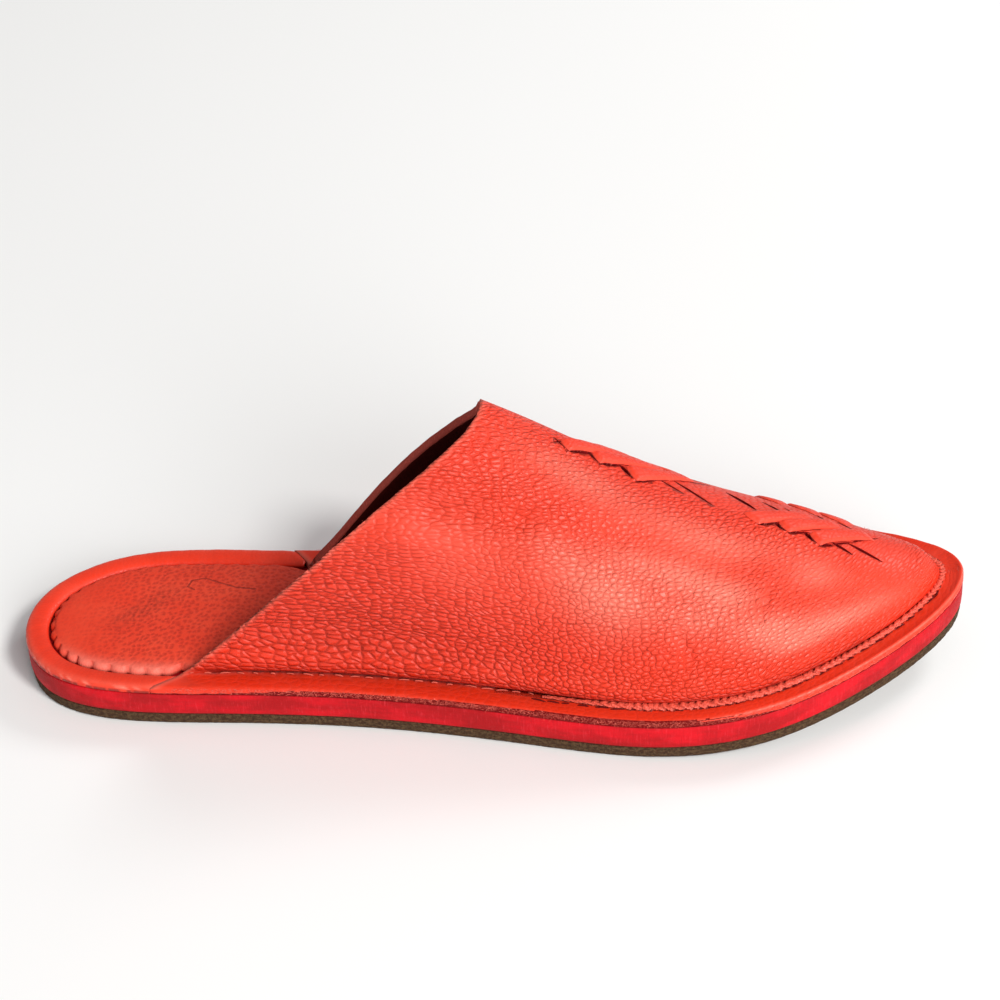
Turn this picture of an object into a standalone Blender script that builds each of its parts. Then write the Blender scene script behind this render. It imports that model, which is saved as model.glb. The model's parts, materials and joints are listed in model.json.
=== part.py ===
"""A slip-on mule for the right foot, in metres, +Z up, toe towards +X.

A one-piece leather upper is turned out at its foot into a flange and stitched down round the
toe on a two-layer sole. A rolled strip takes the flange's place round the heel, and a padded
insole lies inside. The vamp is woven along its ridge from strips cut out of the same leather.
"""
import math

import bmesh
import bpy
import numpy as np

# Sole, over all
SOLE_LENGTH = 0.270
BALL_WIDTH = 0.0940
HEEL_WIDTH = 0.0655
TOE_SPRING = 0.0124
SPRING_START = 0.62
TOE_LEAN = 0.0014

# Layers of the sole and the leather on it
OUTSOLE_THICKNESS = 0.0036
OUTSOLE_EDGE_ROUND = 0.0007
MIDSOLE_THICKNESS = 0.0069
MIDSOLE_EDGE_ROUND = 0.0005
LEATHER_THICKNESS = 0.0022
RIM_WIDTH = 0.0066
RAND_THICKNESS = 0.0025
INSOLE_THICKNESS = 0.0024
INSOLE_CROWN = 0.0012
INSOLE_EDGE_ROUND = 0.0011
INSOLE_TOE_EASE = 0.0012
SEAT_GAP = 0.0003
RAND_END_GAP = 0.00045
RAND_ROOT_EASE = 0.00176

# Upper
INSTEP_HEIGHT = 0.0700
RIDGE_OFFSET = 0.0030
NOSE_START = 0.95
LIP_RADIUS = 0.0013

# Woven strips and slits of the vamp
STRIP_WIDTH = 0.0048
STRIP_RELIEF = 0.0009
STRIP_SINK = 0.0009
STRIP_RUN = 0.046
STRIP_END = 0.05
SLIT_WIDTH = 0.0010
SLIT_DEPTH = 0.0060

# Half widths of the sole at shares of its length, as shares of the width that each row follows
OUTLINE = (
    # share of length, lateral, medial, width that the row follows
    (0.04, 0.350, 0.347, HEEL_WIDTH),
    (0.12, 0.473, 0.495, HEEL_WIDTH),
    (0.24, 0.502, 0.498, HEEL_WIDTH),
    (0.38, 0.545, 0.492, HEEL_WIDTH),
    (0.52, 0.449, 0.410, BALL_WIDTH),
    (0.66, 0.525, 0.475, BALL_WIDTH),
    (0.78, 0.502, 0.436, BALL_WIDTH),
    (0.88, 0.368, 0.338, BALL_WIDTH),
    (0.95, 0.219, 0.219, BALL_WIDTH),
)

# Ridge of the upper over the flange, at shares of the sole's length
RIDGE = (
    # share of length, share of the instep height
    (0.15, 1.384),
    (0.32, 1.286),
    (0.48, 1.054),
    (0.60, 0.797),
    (0.72, 0.547),
    (0.82, 0.371),
    (0.90, 0.209),
    (0.95, 0.106),
)

# Fullness of the sections: 1 is an ellipse, more is nearer to a tent
SECTIONS = (
    # share of length, power of the section, share of the ridge offset
    (0.20, 1.10, 1.00),
    (0.50, 1.30, 1.00),
    (0.75, 1.25, 0.33),
    (0.95, 1.10, 0.05),
)

# Edge of the collar, from the lateral foot over the ridge to the medial foot
COLLAR = (
    # degrees round the section, share of length
    (0, 0.182),
    (30, 0.341),
    (60, 0.459),
    (80, 0.498),
    (100, 0.503),
    (120, 0.490),
    (150, 0.402),
    (180, 0.297),
)

# Slanted ends of the flange at the sole's edge, where the heel strip butts against it
LATERAL_FLANGE_END = 0.152
MEDIAL_FLANGE_END = 0.278
FLANGE_SLANT_ROWS = 4

# Where the insole narrows: shares of the length behind the wings and behind the nose, and runs
INSOLE_WING_LEAD = 0.050
INSOLE_WING_RUN = 0.035
INSOLE_NOSE_LEAD = 0.030
INSOLE_NOSE_RUN = 0.040

# Raised seam along the foot of the upper: fullness along the edge, from the lateral side
SEAM = (
    # share of the way round the toe, share of the lip radius
    (0.04, 0.45),
    (0.25, 0.60),
    (0.40, 1.00),
    (0.50, 0.80),
    (0.60, 1.00),
    (0.75, 0.60),
    (0.96, 0.45),
)

# Edges of the woven field in plan, as shares of the ball width from the sole's centre line
WEAVE_FIELD = (
    # share of length, lateral edge, medial edge
    (0.55, -0.010, 0.215),
    (0.70, -0.022, 0.200),
    (0.85, -0.062, 0.165),
    (0.92, -0.062, 0.110),
)

# Raised ends of the woven strips, each running forward from an edge of the field to its middle
STRIPS = (
    # side (-1 lateral, 1 medial), share of length at the edge
    (-1, 0.590),
    (-1, 0.621),
    (-1, 0.653),
    (-1, 0.775),
    (-1, 0.808),
    (-1, 0.841),
    (1, 0.614),
    (1, 0.645),
    (1, 0.677),
    (1, 0.793),
    (1, 0.825),
    (1, 0.857),
)

# Slits between the strips where they lie level, each running forward from the middle to an edge
SLITS = (
    # side, share of length at the edge, shares of the way at which it starts and ends, width share
    (-1, 0.706, 0.45, 0.90, 0.8),
    (-1, 0.740, 0.10, 0.95, 0.9),
    (-1, 0.892, 0.72, 1.00, 0.8),
    (-1, 0.918, 0.45, 1.00, 1.0),
    (1, 0.728, 0.20, 0.95, 0.9),
    (1, 0.760, 0.15, 0.95, 1.0),
    (1, 0.905, 0.45, 0.95, 0.8),
)

STATIONS = 44
UPPER_ROWS = 32
UPPER_COLUMNS = 36


def cubic(knots, values, at, closed=False):
    """Values at `at` of the cubic spline through the knots, natural or closed."""
    knots = np.asarray(knots, float)
    values = np.asarray(values, float)
    count = len(knots)
    gaps = np.diff(knots)
    slopes = np.diff(values) / gaps
    matrix = np.zeros((count, count))
    right = np.zeros(count)
    for i in range(1, count - 1):
        matrix[i, i - 1:i + 2] = gaps[i - 1], 2 * (gaps[i - 1] + gaps[i]), gaps[i]
        right[i] = 6 * (slopes[i] - slopes[i - 1])
    matrix[0, 0] = 1
    if closed:
        matrix[0, -1] = -1
        matrix[-1, 0:2] = 2 * gaps[0], gaps[0]
        matrix[-1, -2:] += gaps[-1], 2 * gaps[-1]
        right[-1] = 6 * (slopes[0] - slopes[-1])
    else:
        matrix[-1, -1] = 1
    bend = np.linalg.solve(matrix, right)
    at = np.asarray(at, float)
    i = np.clip(np.searchsorted(knots, at) - 1, 0, count - 2)
    gap = gaps[i]
    before = (knots[i + 1] - at) / gap
    after = (at - knots[i]) / gap
    curve = (before ** 3 - before) * bend[i] + (after ** 3 - after) * bend[i + 1]
    return before * values[i] + after * values[i + 1] + curve * gap ** 2 / 6


def column(table, number):
    return np.array([row[number] for row in table])


def ease(share):
    """A smooth step from 0 to 1."""
    share = np.clip(share, 0, 1)
    return share * share * (3 - 2 * share)


def outline(turn, inset=0.0):
    """The sole's edge in plan at an angle from the heel (0) by the lateral side to the toe (pi)."""
    shares = column(OUTLINE, 0)
    widths = column(OUTLINE, 3)
    angles = np.arccos(1 - 2 * shares)
    knots = np.concatenate([[0], angles, [math.pi], 2 * math.pi - angles[::-1], [2 * math.pi]])
    lateral = -column(OUTLINE, 1) * widths
    medial = column(OUTLINE, 2) * widths
    across = np.concatenate([[0], lateral, [TOE_LEAN], medial[::-1], [0]])
    turn = np.asarray(turn, float)

    def point(angle):
        angle = np.mod(angle, 2 * math.pi)
        return SOLE_LENGTH * (1 - np.cos(angle)) / 2, cubic(knots, across, angle, closed=True)

    x, y = point(turn)
    step = 1e-3
    x0, y0 = point(turn - step)
    x1, y1 = point(turn + step)
    length = np.hypot(x1 - x0, y1 - y0)
    return x - inset * (y1 - y0) / length, y + inset * (x1 - x0) / length


def floor_line(x):
    """Height of the sole's underside: flat from the heel to the ball, then rising to the toe."""
    past = np.clip((x / SOLE_LENGTH - SPRING_START) / (1 - SPRING_START), 0, None)
    return TOE_SPRING * past ** 2


MIDSOLE_BASE = OUTSOLE_THICKNESS + SEAT_GAP
LEATHER_BASE = MIDSOLE_BASE + MIDSOLE_THICKNESS + SEAT_GAP
FLANGE_TOP = LEATHER_BASE + LEATHER_THICKNESS
TURNS = np.linspace(0, math.pi, 400)
PLAN_CENTRE = (
    SOLE_LENGTH / 2,
    float(outline(TURNS)[1].min() + outline(-TURNS)[1].max()) / 2,
)


class WallFace:
    """A face of the upper's wall: the outer one, or one at a depth below and inside it."""

    def __init__(self, depth):
        self.depth = depth
        self.lateral = outline(TURNS, RIM_WIDTH + depth)
        self.medial = outline(2 * math.pi - TURNS, RIM_WIDTH + depth)
        self.tip = float(self.lateral[0][-1])

    def foot(self, x):
        """Both ends of a section: where the wall stands on its flange."""
        return np.interp(x, *self.lateral), np.interp(x, *self.medial)

    def foot_turn(self, share, medial=False):
        """The angle round the outline at which the wall's foot passes a share of the length."""
        track = self.medial if medial else self.lateral
        angle = float(np.interp(share * SOLE_LENGTH, track[0], TURNS))
        return 2 * math.pi - angle if medial else angle

    def ridge_height(self, x):
        """Height of the ridge over the foot, closed by a round nose at the toe."""
        shares = column(RIDGE, 0)
        start = NOSE_START * SOLE_LENGTH
        height = INSTEP_HEIGHT * cubic(shares * SOLE_LENGTH, column(RIDGE, 1), np.minimum(x, start))
        fall = (RIDGE[-1][1] - RIDGE[-2][1]) / (shares[-1] - shares[-2])
        slope = INSTEP_HEIGHT * fall / SOLE_LENGTH
        past = np.clip((x - start) / (self.tip - start), 0, 1)
        return (height + slope * np.maximum(x - start, 0)) * np.sqrt(1 - past ** 2)

    def middle(self, x):
        """Where the ridge runs in plan."""
        lateral, medial = self.foot(x)
        shift = np.interp(x / SOLE_LENGTH, column(SECTIONS, 0), column(SECTIONS, 2))
        return (lateral + medial) / 2 + RIDGE_OFFSET * shift

    def point(self, x, angle):
        """A point of the face, from the lateral foot (0) over the ridge to the medial one (pi)."""
        lateral, medial = self.foot(x)
        middle = self.middle(x)
        half = np.where(np.cos(angle) > 0, middle - lateral, medial - middle)
        power = np.interp(x / SOLE_LENGTH, column(SECTIONS, 0), column(SECTIONS, 1))
        rise = self.ridge_height(x) * np.abs(np.sin(angle)) ** power
        return np.stack([x, middle - half * np.cos(angle), floor_line(x) + FLANGE_TOP - self.depth + rise], -1)

    def angle(self, x, y):
        """The section angle of the face over a place in plan."""
        lateral, medial = self.foot(x)
        middle = self.middle(x)
        half = np.where(y < middle, middle - lateral, medial - middle)
        return np.arccos(np.clip((middle - y) / half, -1, 1))

    def over(self, x, y):
        return self.point(x, self.angle(x, y))


OUTER = WallFace(0.0)
INNER = WallFace(LEATHER_THICKNESS)


def upper_over(x, y, rise):
    """A point at a distance from the outer face, over a place in plan near the ridge."""
    step = 1e-4
    here = OUTER.over(x, y)
    normal = np.cross(OUTER.over(x + step, y) - here, OUTER.over(x, y + step) - here)
    return here + normal / np.linalg.norm(normal) * rise


def new_material(name, colour, roughness):
    material = bpy.data.materials.new(name)
    material.use_nodes = True
    shader = material.node_tree.nodes["Principled BSDF"]
    shader.inputs["Base Color"].default_value = (*colour, 1.0)
    shader.inputs["Roughness"].default_value = roughness
    shader.inputs["Metallic"].default_value = 0.0
    return material


def new_object(name, vertices, faces, collection):
    """A smooth-shaded mesh object, its points moved to the frame's origin."""
    mesh = bpy.data.meshes.new(name)
    shift = np.array([PLAN_CENTRE[0], PLAN_CENTRE[1], 0.0])
    mesh.from_pydata((np.asarray(vertices) - shift).tolist(), [], faces)
    body = bmesh.new()
    body.from_mesh(mesh)
    bmesh.ops.remove_doubles(body, verts=body.verts, dist=1e-6)
    bmesh.ops.recalc_face_normals(body, faces=body.faces)
    body.to_mesh(mesh)
    body.free()
    mesh.shade_smooth()
    mesh.set_sharp_from_angle(angle=math.radians(40))
    thing = bpy.data.objects.new(name, mesh)
    collection.objects.link(thing)
    return thing


def sole_layer(name, levels, crown, collection):
    """A layer of the sole: rings inset from its edge, closed below and crowned above."""
    turns = np.linspace(0, math.pi, STATIONS + 1)
    columns = 6 if crown else 2
    vertices = []
    faces = []
    rings = []
    for inset, height in levels:
        ring = []
        for angle in np.concatenate([turns, turns[-2:0:-1] + 2 * (math.pi - turns[-2:0:-1])]):
            x, y = outline(angle, inset(angle))
            ring.append(len(vertices))
            vertices.append((float(x), float(y), float(floor_line(x)) + height))
        rings.append(ring)
    size = len(rings[0])
    for low, high in zip(rings, rings[1:]):
        for i in range(size):
            j = (i + 1) % size
            faces.append((low[i], low[j], high[j], high[i]))
    for ring, rise in ((rings[0], 0.0), (rings[-1], crown)):
        rows = []
        for k in range(STATIONS + 1):
            near, far = ring[k], ring[(size - k) % size]
            if near == far:
                rows.append([near] * (columns + 1))
                continue
            row = [near]
            for c in range(1, columns):
                share = c / columns
                start, end = np.array(vertices[near]), np.array(vertices[far])
                place = start + (end - start) * share
                swell = math.sin(math.pi * k / STATIONS) ** 0.5
                place[2] += rise * swell * (1 - (2 * share - 1) ** 2)
                row.append(len(vertices))
                vertices.append(tuple(place))
            rows.append(row + [far])
        for one, two in zip(rows, rows[1:]):
            for c in range(columns):
                corners = (one[c], one[c + 1], two[c + 1], two[c])
                corners = tuple(dict.fromkeys(corners))
                if len(corners) > 2:
                    faces.append(corners)
    return new_object(name, vertices, faces, collection)


def outline_turn(share, medial=False):
    """The angle at which the sole's edge passes a share of its length."""
    angle = math.acos(1 - 2 * share)
    return 2 * math.pi - angle if medial else angle


def make_outsole(collection):
    levels = (
        (lambda angle: 2 * OUTSOLE_EDGE_ROUND, 0.0),
        (lambda angle: SEAT_GAP, OUTSOLE_EDGE_ROUND),
        (lambda angle: SEAT_GAP, OUTSOLE_THICKNESS),
    )
    return sole_layer("outsole", levels, 0.0, collection)


def make_midsole(collection):
    top = MIDSOLE_BASE + MIDSOLE_THICKNESS
    levels = (
        (lambda angle: MIDSOLE_EDGE_ROUND, MIDSOLE_BASE),
        (lambda angle: 0.0, MIDSOLE_BASE + MIDSOLE_EDGE_ROUND),
        (lambda angle: 0.0, top - MIDSOLE_EDGE_ROUND),
        (lambda angle: MIDSOLE_EDGE_ROUND, top),
    )
    return sole_layer("midsole", levels, 0.0, collection)


def insole_inset(angle):
    """Clear of the heel strip behind the wings, and of the wall ahead of them."""
    medial = angle > math.pi
    share = (1 - math.cos(angle)) / 2
    foot = COLLAR[-1][1] if medial else COLLAR[0][1]
    beside_wall = ease((share - foot + INSOLE_WING_LEAD) / INSOLE_WING_RUN)
    under_nose = ease((share - NOSE_START + INSOLE_NOSE_LEAD) / INSOLE_NOSE_RUN)
    inset = RIM_WIDTH + SEAT_GAP + LEATHER_THICKNESS * beside_wall
    return inset + INSOLE_TOE_EASE * under_nose


def make_insole(collection):
    base = LEATHER_BASE
    levels = (
        (lambda angle: insole_inset(angle), base),
        (lambda angle: insole_inset(angle), base + INSOLE_THICKNESS - INSOLE_EDGE_ROUND),
        (lambda angle: insole_inset(angle) + INSOLE_EDGE_ROUND, base + INSOLE_THICKNESS),
    )
    return sole_layer("insole", levels, INSOLE_CROWN, collection)


# Section of the rolled heel strip
ROLL = (
    # share of the rim from the sole's edge, share of the thickness
    (0.00, 0.00),
    (0.00, 0.55),
    (0.06, 0.82),
    (0.24, 1.00),
    (0.60, 0.97),
    (0.88, 0.78),
    (1.00, 0.45),
    (1.00, 0.00),
)


def make_heel_rand(collection):
    """A rolled strip round the heel, its slanted ends butted against the flange."""
    clear = RAND_END_GAP / SOLE_LENGTH
    root = clear + RAND_ROOT_EASE / SOLE_LENGTH
    vertices = []
    rows = 46
    for across, rise in ROLL:
        outer_end = outline_turn(LATERAL_FLANGE_END - clear)
        inner_end = OUTER.foot_turn(COLLAR[0][1] - root)
        outer_start = outline_turn(MEDIAL_FLANGE_END - clear, medial=True) - 2 * math.pi
        inner_start = OUTER.foot_turn(COLLAR[-1][1] - root, medial=True) - 2 * math.pi
        start = outer_start + (inner_start - outer_start) * across
        end = outer_end + (inner_end - outer_end) * across
        for angle in np.linspace(start, end, rows + 1):
            x, y = outline(angle, RIM_WIDTH * across)
            vertices.append((float(x), float(y), float(floor_line(x)) + LEATHER_BASE + RAND_THICKNESS * rise))
    size = rows + 1
    count = len(ROLL)
    faces = []
    for c in range(count):
        n = (c + 1) % count
        for i in range(rows):
            faces.append((c * size + i, c * size + i + 1, n * size + i + 1, n * size + i))
    faces.append(tuple(c * size for c in range(count)))
    faces.append(tuple(c * size + rows for c in range(count)))
    return new_object("heel_rand", vertices, faces, collection)


def collar_x(angle):
    return SOLE_LENGTH * cubic(np.radians(column(COLLAR, 0)), column(COLLAR, 1), angle)


def upper_grid(face):
    """One face of the wall with its flange: columns round the section, rows from the collar."""
    shares = 1 - (1 - np.linspace(0, 1, UPPER_ROWS + 1)) ** 1.5
    grid = []
    for angle in np.linspace(0, math.pi, UPPER_COLUMNS + 1):
        start = collar_x(angle)
        grid.append(face.point(start + (face.tip - start) * shares, np.full(len(shares), angle)))
    lag = np.clip(1 - shares / shares[FLANGE_SLANT_ROWS], 0, 1)
    for medial, end in ((False, LATERAL_FLANGE_END), (True, MEDIAL_FLANGE_END)):
        foot = OUTER.medial if medial else OUTER.lateral
        start = collar_x(math.pi if medial else 0.0)
        turns = np.interp(start + (OUTER.tip - start) * shares, foot[0], TURNS)
        slanted = turns - (turns[0] - outline_turn(end)) * lag
        for across in (0.5, 1.0):
            angle = turns + (slanted - turns) * across
            x, y = outline(2 * math.pi - angle if medial else angle, RIM_WIDTH * (1 - across))
            line = np.stack([x, y, floor_line(x) + FLANGE_TOP - face.depth], -1)
            if medial:
                grid.append(line)
            else:
                grid.insert(0, line)
    return np.array(grid)


def make_upper(collection, cutters):
    """The wall of the upper, lofted between its two faces, with its seam, strips and slits."""
    outer = upper_grid(OUTER)
    inner = upper_grid(INNER)
    columns, rows = outer.shape[:2]
    below = columns * rows
    faces = []
    for j in range(columns - 1):
        for i in range(rows - 1):
            quad = (j * rows + i, j * rows + i + 1, (j + 1) * rows + i + 1, (j + 1) * rows + i)
            faces.append(quad)
            faces.append(tuple(below + corner for corner in reversed(quad)))
        edge = (j * rows, (j + 1) * rows)
        faces.append((edge[1], edge[0], below + edge[0], below + edge[1]))
    for start in (0, (columns - 1) * rows):
        for i in range(start, start + rows - 1):
            faces.append((i, i + 1, below + i + 1, below + i))
    points = np.concatenate([outer.reshape(-1, 3), inner.reshape(-1, 3)])
    upper = new_object("upper", points, faces, collection)
    tools = [("DIFFERENCE", "EXACT", make_slits(cutters)), ("UNION", "EXACT", make_seam(cutters))]
    for number, (side, share) in enumerate(STRIPS, 1):
        tools.append(("UNION", "MANIFOLD", make_strip(number, side, share, cutters)))
    for operation, solver, tool in tools:
        step = upper.modifiers.new(tool.name, "BOOLEAN")
        step.operation = operation
        step.solver = solver
        step.object = tool
    return upper


def mark_tool(tool):
    tool.hide_render = True
    tool.display_type = "WIRE"
    return tool


def make_seam(cutters):
    """The raised seam where the wall stands on the flange, thicker towards the toe."""
    start = OUTER.foot_turn(COLLAR[0][1])
    end = OUTER.foot_turn(COLLAR[-1][1], medial=True)
    sides = 8
    rings = 72
    vertices = []
    for share in np.linspace(SEAM[0][0], SEAM[-1][0], rings + 1):
        radius = LIP_RADIUS * float(np.interp(share, column(SEAM, 0), column(SEAM, 1)))
        angle = start + (end - start) * share
        for k in range(sides):
            turn = 2 * math.pi * (k + 0.5) / sides
            inset = RIM_WIDTH + 0.5 * LIP_RADIUS + radius * math.cos(turn)
            x, y = outline(angle, inset)
            height = FLANGE_TOP + 0.25 * LIP_RADIUS + radius * math.sin(turn)
            vertices.append((float(x), float(y), float(floor_line(x)) + height))
    faces = []
    for i in range(rings):
        for k in range(sides):
            n = (k + 1) % sides
            faces.append((i * sides + k, i * sides + n, (i + 1) * sides + n, (i + 1) * sides + k))
    faces.append(tuple(range(sides)))
    faces.append(tuple(rings * sides + k for k in range(sides)))
    return mark_tool(new_object("seam", vertices, faces, cutters))


def field_place(side, share, way):
    """A place in plan on the way (0 to 1) from the field's middle out to one of its edges."""
    edges = [np.interp(share, column(WEAVE_FIELD, 0), column(WEAVE_FIELD, k)) for k in (1, 2)]
    middle = (edges[0] + edges[1]) / 2
    edge = edges[0] if side < 0 else edges[1]
    return BALL_WIDTH * (middle + (edge - middle) * way)


def prism(rings, start):
    """Faces that close two facing rings of points into one body."""
    count = rings // 2
    faces = [tuple(start + k for k in range(count)), tuple(start + count + k for k in range(count))]
    for k in range(count):
        n = (k + 1) % count
        faces.append((start + k, start + n, start + count + n, start + count + k))
    return faces


def make_strip(number, side, share, cutters):
    """The raised end of a woven strip, as a slanted band that follows the upper's face."""
    vertices = []
    faces = []
    steps = 5
    run = STRIP_RUN * SOLE_LENGTH
    reach = field_place(1, share, 1) - field_place(1, share, 0)
    width = STRIP_WIDTH * math.hypot(run, reach) / reach
    for rise in (-STRIP_SINK, STRIP_RELIEF):
        for i in range(steps + 1):
            way = 1 - (1 - STRIP_END) * i / steps
            x = share * SOLE_LENGTH + run * (1 - way)
            y = field_place(side, share, way)
            for edge in (-0.5, 0.0, 0.5):
                vertices.append(upper_over(x + edge * width, y, rise))
    half = 3 * (steps + 1)
    for i in range(steps):
        for a in (3 * i, 3 * i + 1):
            for level in (0, half):
                faces.append((level + a, level + a + 1, level + a + 4, level + a + 3))
        for a in (3 * i, 3 * i + 2):
            faces.append((a, a + 3, half + a + 3, half + a))
    for k in (0, 1, 3 * steps, 3 * steps + 1):
        faces.append((k, k + 1, half + k + 1, half + k))
    return mark_tool(new_object(f"strip_{number}", vertices, faces, cutters))


def make_slits(cutters):
    """Lens-shaped cutters that go right through the wall, one for each slit."""
    vertices = []
    faces = []
    run = STRIP_RUN * SOLE_LENGTH
    outline_shares = ((0.0, 0.15), (0.3, 0.9), (0.7, 0.9), (1.0, 0.15))
    for side, share, start, end, width in SLITS:
        ring = []
        sides = [(place, half) for place, half in outline_shares]
        sides += [(place, -half) for place, half in reversed(outline_shares)]
        for place, half in sides:
            way = start + (end - start) * place
            x = share * SOLE_LENGTH - run * (1 - way) + half * SLIT_WIDTH * width
            ring.append((x, field_place(side, share, way)))
        base = len(vertices)
        for reach in (-SLIT_DEPTH, SLIT_DEPTH):
            for x, y in ring:
                place = OUTER.over(x, y)
                vertices.append((float(place[0]), float(place[1]), float(place[2]) + reach))
        faces += prism(2 * len(ring), base)
    return mark_tool(new_object("slits", vertices, faces, cutters))


def main():
    for thing in list(bpy.data.objects):
        bpy.data.objects.remove(thing)
    mule = bpy.data.collections.new("mule")
    cutters = bpy.data.collections.new("cutters")
    for group in (mule, cutters):
        bpy.context.scene.collection.children.link(group)
    finishes = (
        (make_outsole(mule), "outsole_rubber", (0.040, 0.030, 0.016), 0.90),
        (make_midsole(mule), "midsole_crimson", (0.680, 0.012, 0.030), 0.70),
        (make_insole(mule), "insole_leather", (0.640, 0.060, 0.030), 0.60),
        (make_heel_rand(mule), "rand_leather", (0.830, 0.075, 0.040), 0.50),
        (make_upper(mule, cutters), "upper_leather", (0.830, 0.075, 0.040), 0.50),
    )
    for thing, name, colour, roughness in finishes:
        thing.data.materials.append(new_material(name, colour, roughness))


main()
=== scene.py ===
"""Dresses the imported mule: leather, weave, stitches, sole and a plain studio floor."""

import json
import math

import bmesh
import bpy
import numpy as np
from mathutils import Matrix

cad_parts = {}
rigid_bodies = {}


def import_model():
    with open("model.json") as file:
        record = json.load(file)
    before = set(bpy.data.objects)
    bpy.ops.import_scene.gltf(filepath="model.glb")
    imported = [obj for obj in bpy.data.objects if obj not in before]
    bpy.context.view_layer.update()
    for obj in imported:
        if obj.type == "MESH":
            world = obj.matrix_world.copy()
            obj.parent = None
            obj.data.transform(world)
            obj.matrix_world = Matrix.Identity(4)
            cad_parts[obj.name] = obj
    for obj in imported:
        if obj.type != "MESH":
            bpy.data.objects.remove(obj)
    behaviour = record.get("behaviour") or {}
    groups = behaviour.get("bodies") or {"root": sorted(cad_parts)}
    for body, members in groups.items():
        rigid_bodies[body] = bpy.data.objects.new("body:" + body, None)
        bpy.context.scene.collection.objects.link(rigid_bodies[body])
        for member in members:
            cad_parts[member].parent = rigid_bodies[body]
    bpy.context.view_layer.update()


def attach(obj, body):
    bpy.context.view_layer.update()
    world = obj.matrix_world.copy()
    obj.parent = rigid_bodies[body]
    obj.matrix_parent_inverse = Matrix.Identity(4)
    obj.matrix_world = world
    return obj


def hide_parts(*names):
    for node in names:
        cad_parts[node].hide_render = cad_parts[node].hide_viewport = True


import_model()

bl_info = {
    "name": "Woven mule",
    "version": (1, 0, 0),
    "blender": (4, 5, 0),
    "location": "3D View > Sidebar > Mule",
    "description": "Dresses the frame of a woven leather mule with its leather, stitches and sole",
    "category": "Object",
}

MM = 0.001

# Sizes of the form, in metres, as in the part itself
SOLE_LENGTH = 0.270
BALL_WIDTH = 0.0940
HEEL_WIDTH = 0.0655
TOE_SPRING = 0.0124
SPRING_START = 0.62
TOE_LEAN = 0.0014
OUTSOLE_THICKNESS = 0.0036
MIDSOLE_THICKNESS = 0.0069
LEATHER_THICKNESS = 0.0022
RIM_WIDTH = 0.0066
RAND_THICKNESS = 0.0025
INSOLE_CROWN = 0.0012
INSOLE_TOE_EASE = 0.0012
SEAT_GAP = 0.0003
INSTEP_HEIGHT = 0.0700
RIDGE_OFFSET = 0.0030
NOSE_START = 0.95
LATERAL_FLANGE_END = 0.152
MEDIAL_FLANGE_END = 0.278

OUTLINE = (
    # share of length, lateral, medial, width that the row follows
    (0.04, 0.350, 0.347, HEEL_WIDTH),
    (0.12, 0.473, 0.495, HEEL_WIDTH),
    (0.24, 0.502, 0.498, HEEL_WIDTH),
    (0.38, 0.545, 0.492, HEEL_WIDTH),
    (0.52, 0.449, 0.410, BALL_WIDTH),
    (0.66, 0.525, 0.475, BALL_WIDTH),
    (0.78, 0.502, 0.436, BALL_WIDTH),
    (0.88, 0.368, 0.338, BALL_WIDTH),
    (0.95, 0.219, 0.219, BALL_WIDTH),
)
RIDGE = (
    # share of length, share of the instep height
    (0.15, 1.384),
    (0.32, 1.286),
    (0.48, 1.054),
    (0.60, 0.797),
    (0.72, 0.547),
    (0.82, 0.371),
    (0.90, 0.209),
    (0.95, 0.106),
)
SECTIONS = (
    # share of length, power of the section, share of the ridge offset
    (0.20, 1.10, 1.00),
    (0.50, 1.30, 1.00),
    (0.75, 1.25, 0.33),
    (0.95, 1.10, 0.05),
)
COLLAR = (
    # degrees round the section, share of length
    (0, 0.182),
    (30, 0.341),
    (60, 0.459),
    (80, 0.498),
    (100, 0.503),
    (120, 0.490),
    (150, 0.402),
    (180, 0.297),
)

# Soft folds of the upper: a ridge where the height is above 0, a trough where it is below
FOLDS = (
    # from: share of length, degrees; to: share, degrees; half width mm, height mm
    (0.400, 42, 0.455, 47, 3.2, -0.55),
    (0.455, 47, 0.545, 53, 3.0, -0.90),
    (0.545, 53, 0.640, 60, 4.0, -0.60),
    (0.320, 28, 0.420, 37, 9.0, 0.90),
    (0.420, 37, 0.545, 42, 8.0, 1.10),
    (0.640, 60, 0.760, 63, 6.5, -0.90),
    (0.620, 42, 0.680, 29, 8.5, 0.70),
    (0.750, 36, 0.820, 26, 8.0, 0.75),
    (0.699, 33, 0.710, 21, 1.0, -0.60),
    (0.704, 30, 0.716, 22, 0.9, -0.42),
    (0.793, 54, 0.780, 40, 1.1, -0.48),
    (0.860, 62, 0.900, 55, 6.0, -0.45),
    (0.560, 20, 0.640, 16, 6.0, 0.45),
    (0.330, 12, 0.480, 12, 5.0, -0.40),
    (0.480, 140, 0.620, 128, 7.0, 0.80),
    (0.500, 118, 0.600, 108, 5.0, -0.60),
    (0.620, 150, 0.740, 140, 7.0, 0.60),
    (0.430, 152, 0.470, 146, 4.0, -0.55),
)

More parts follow.
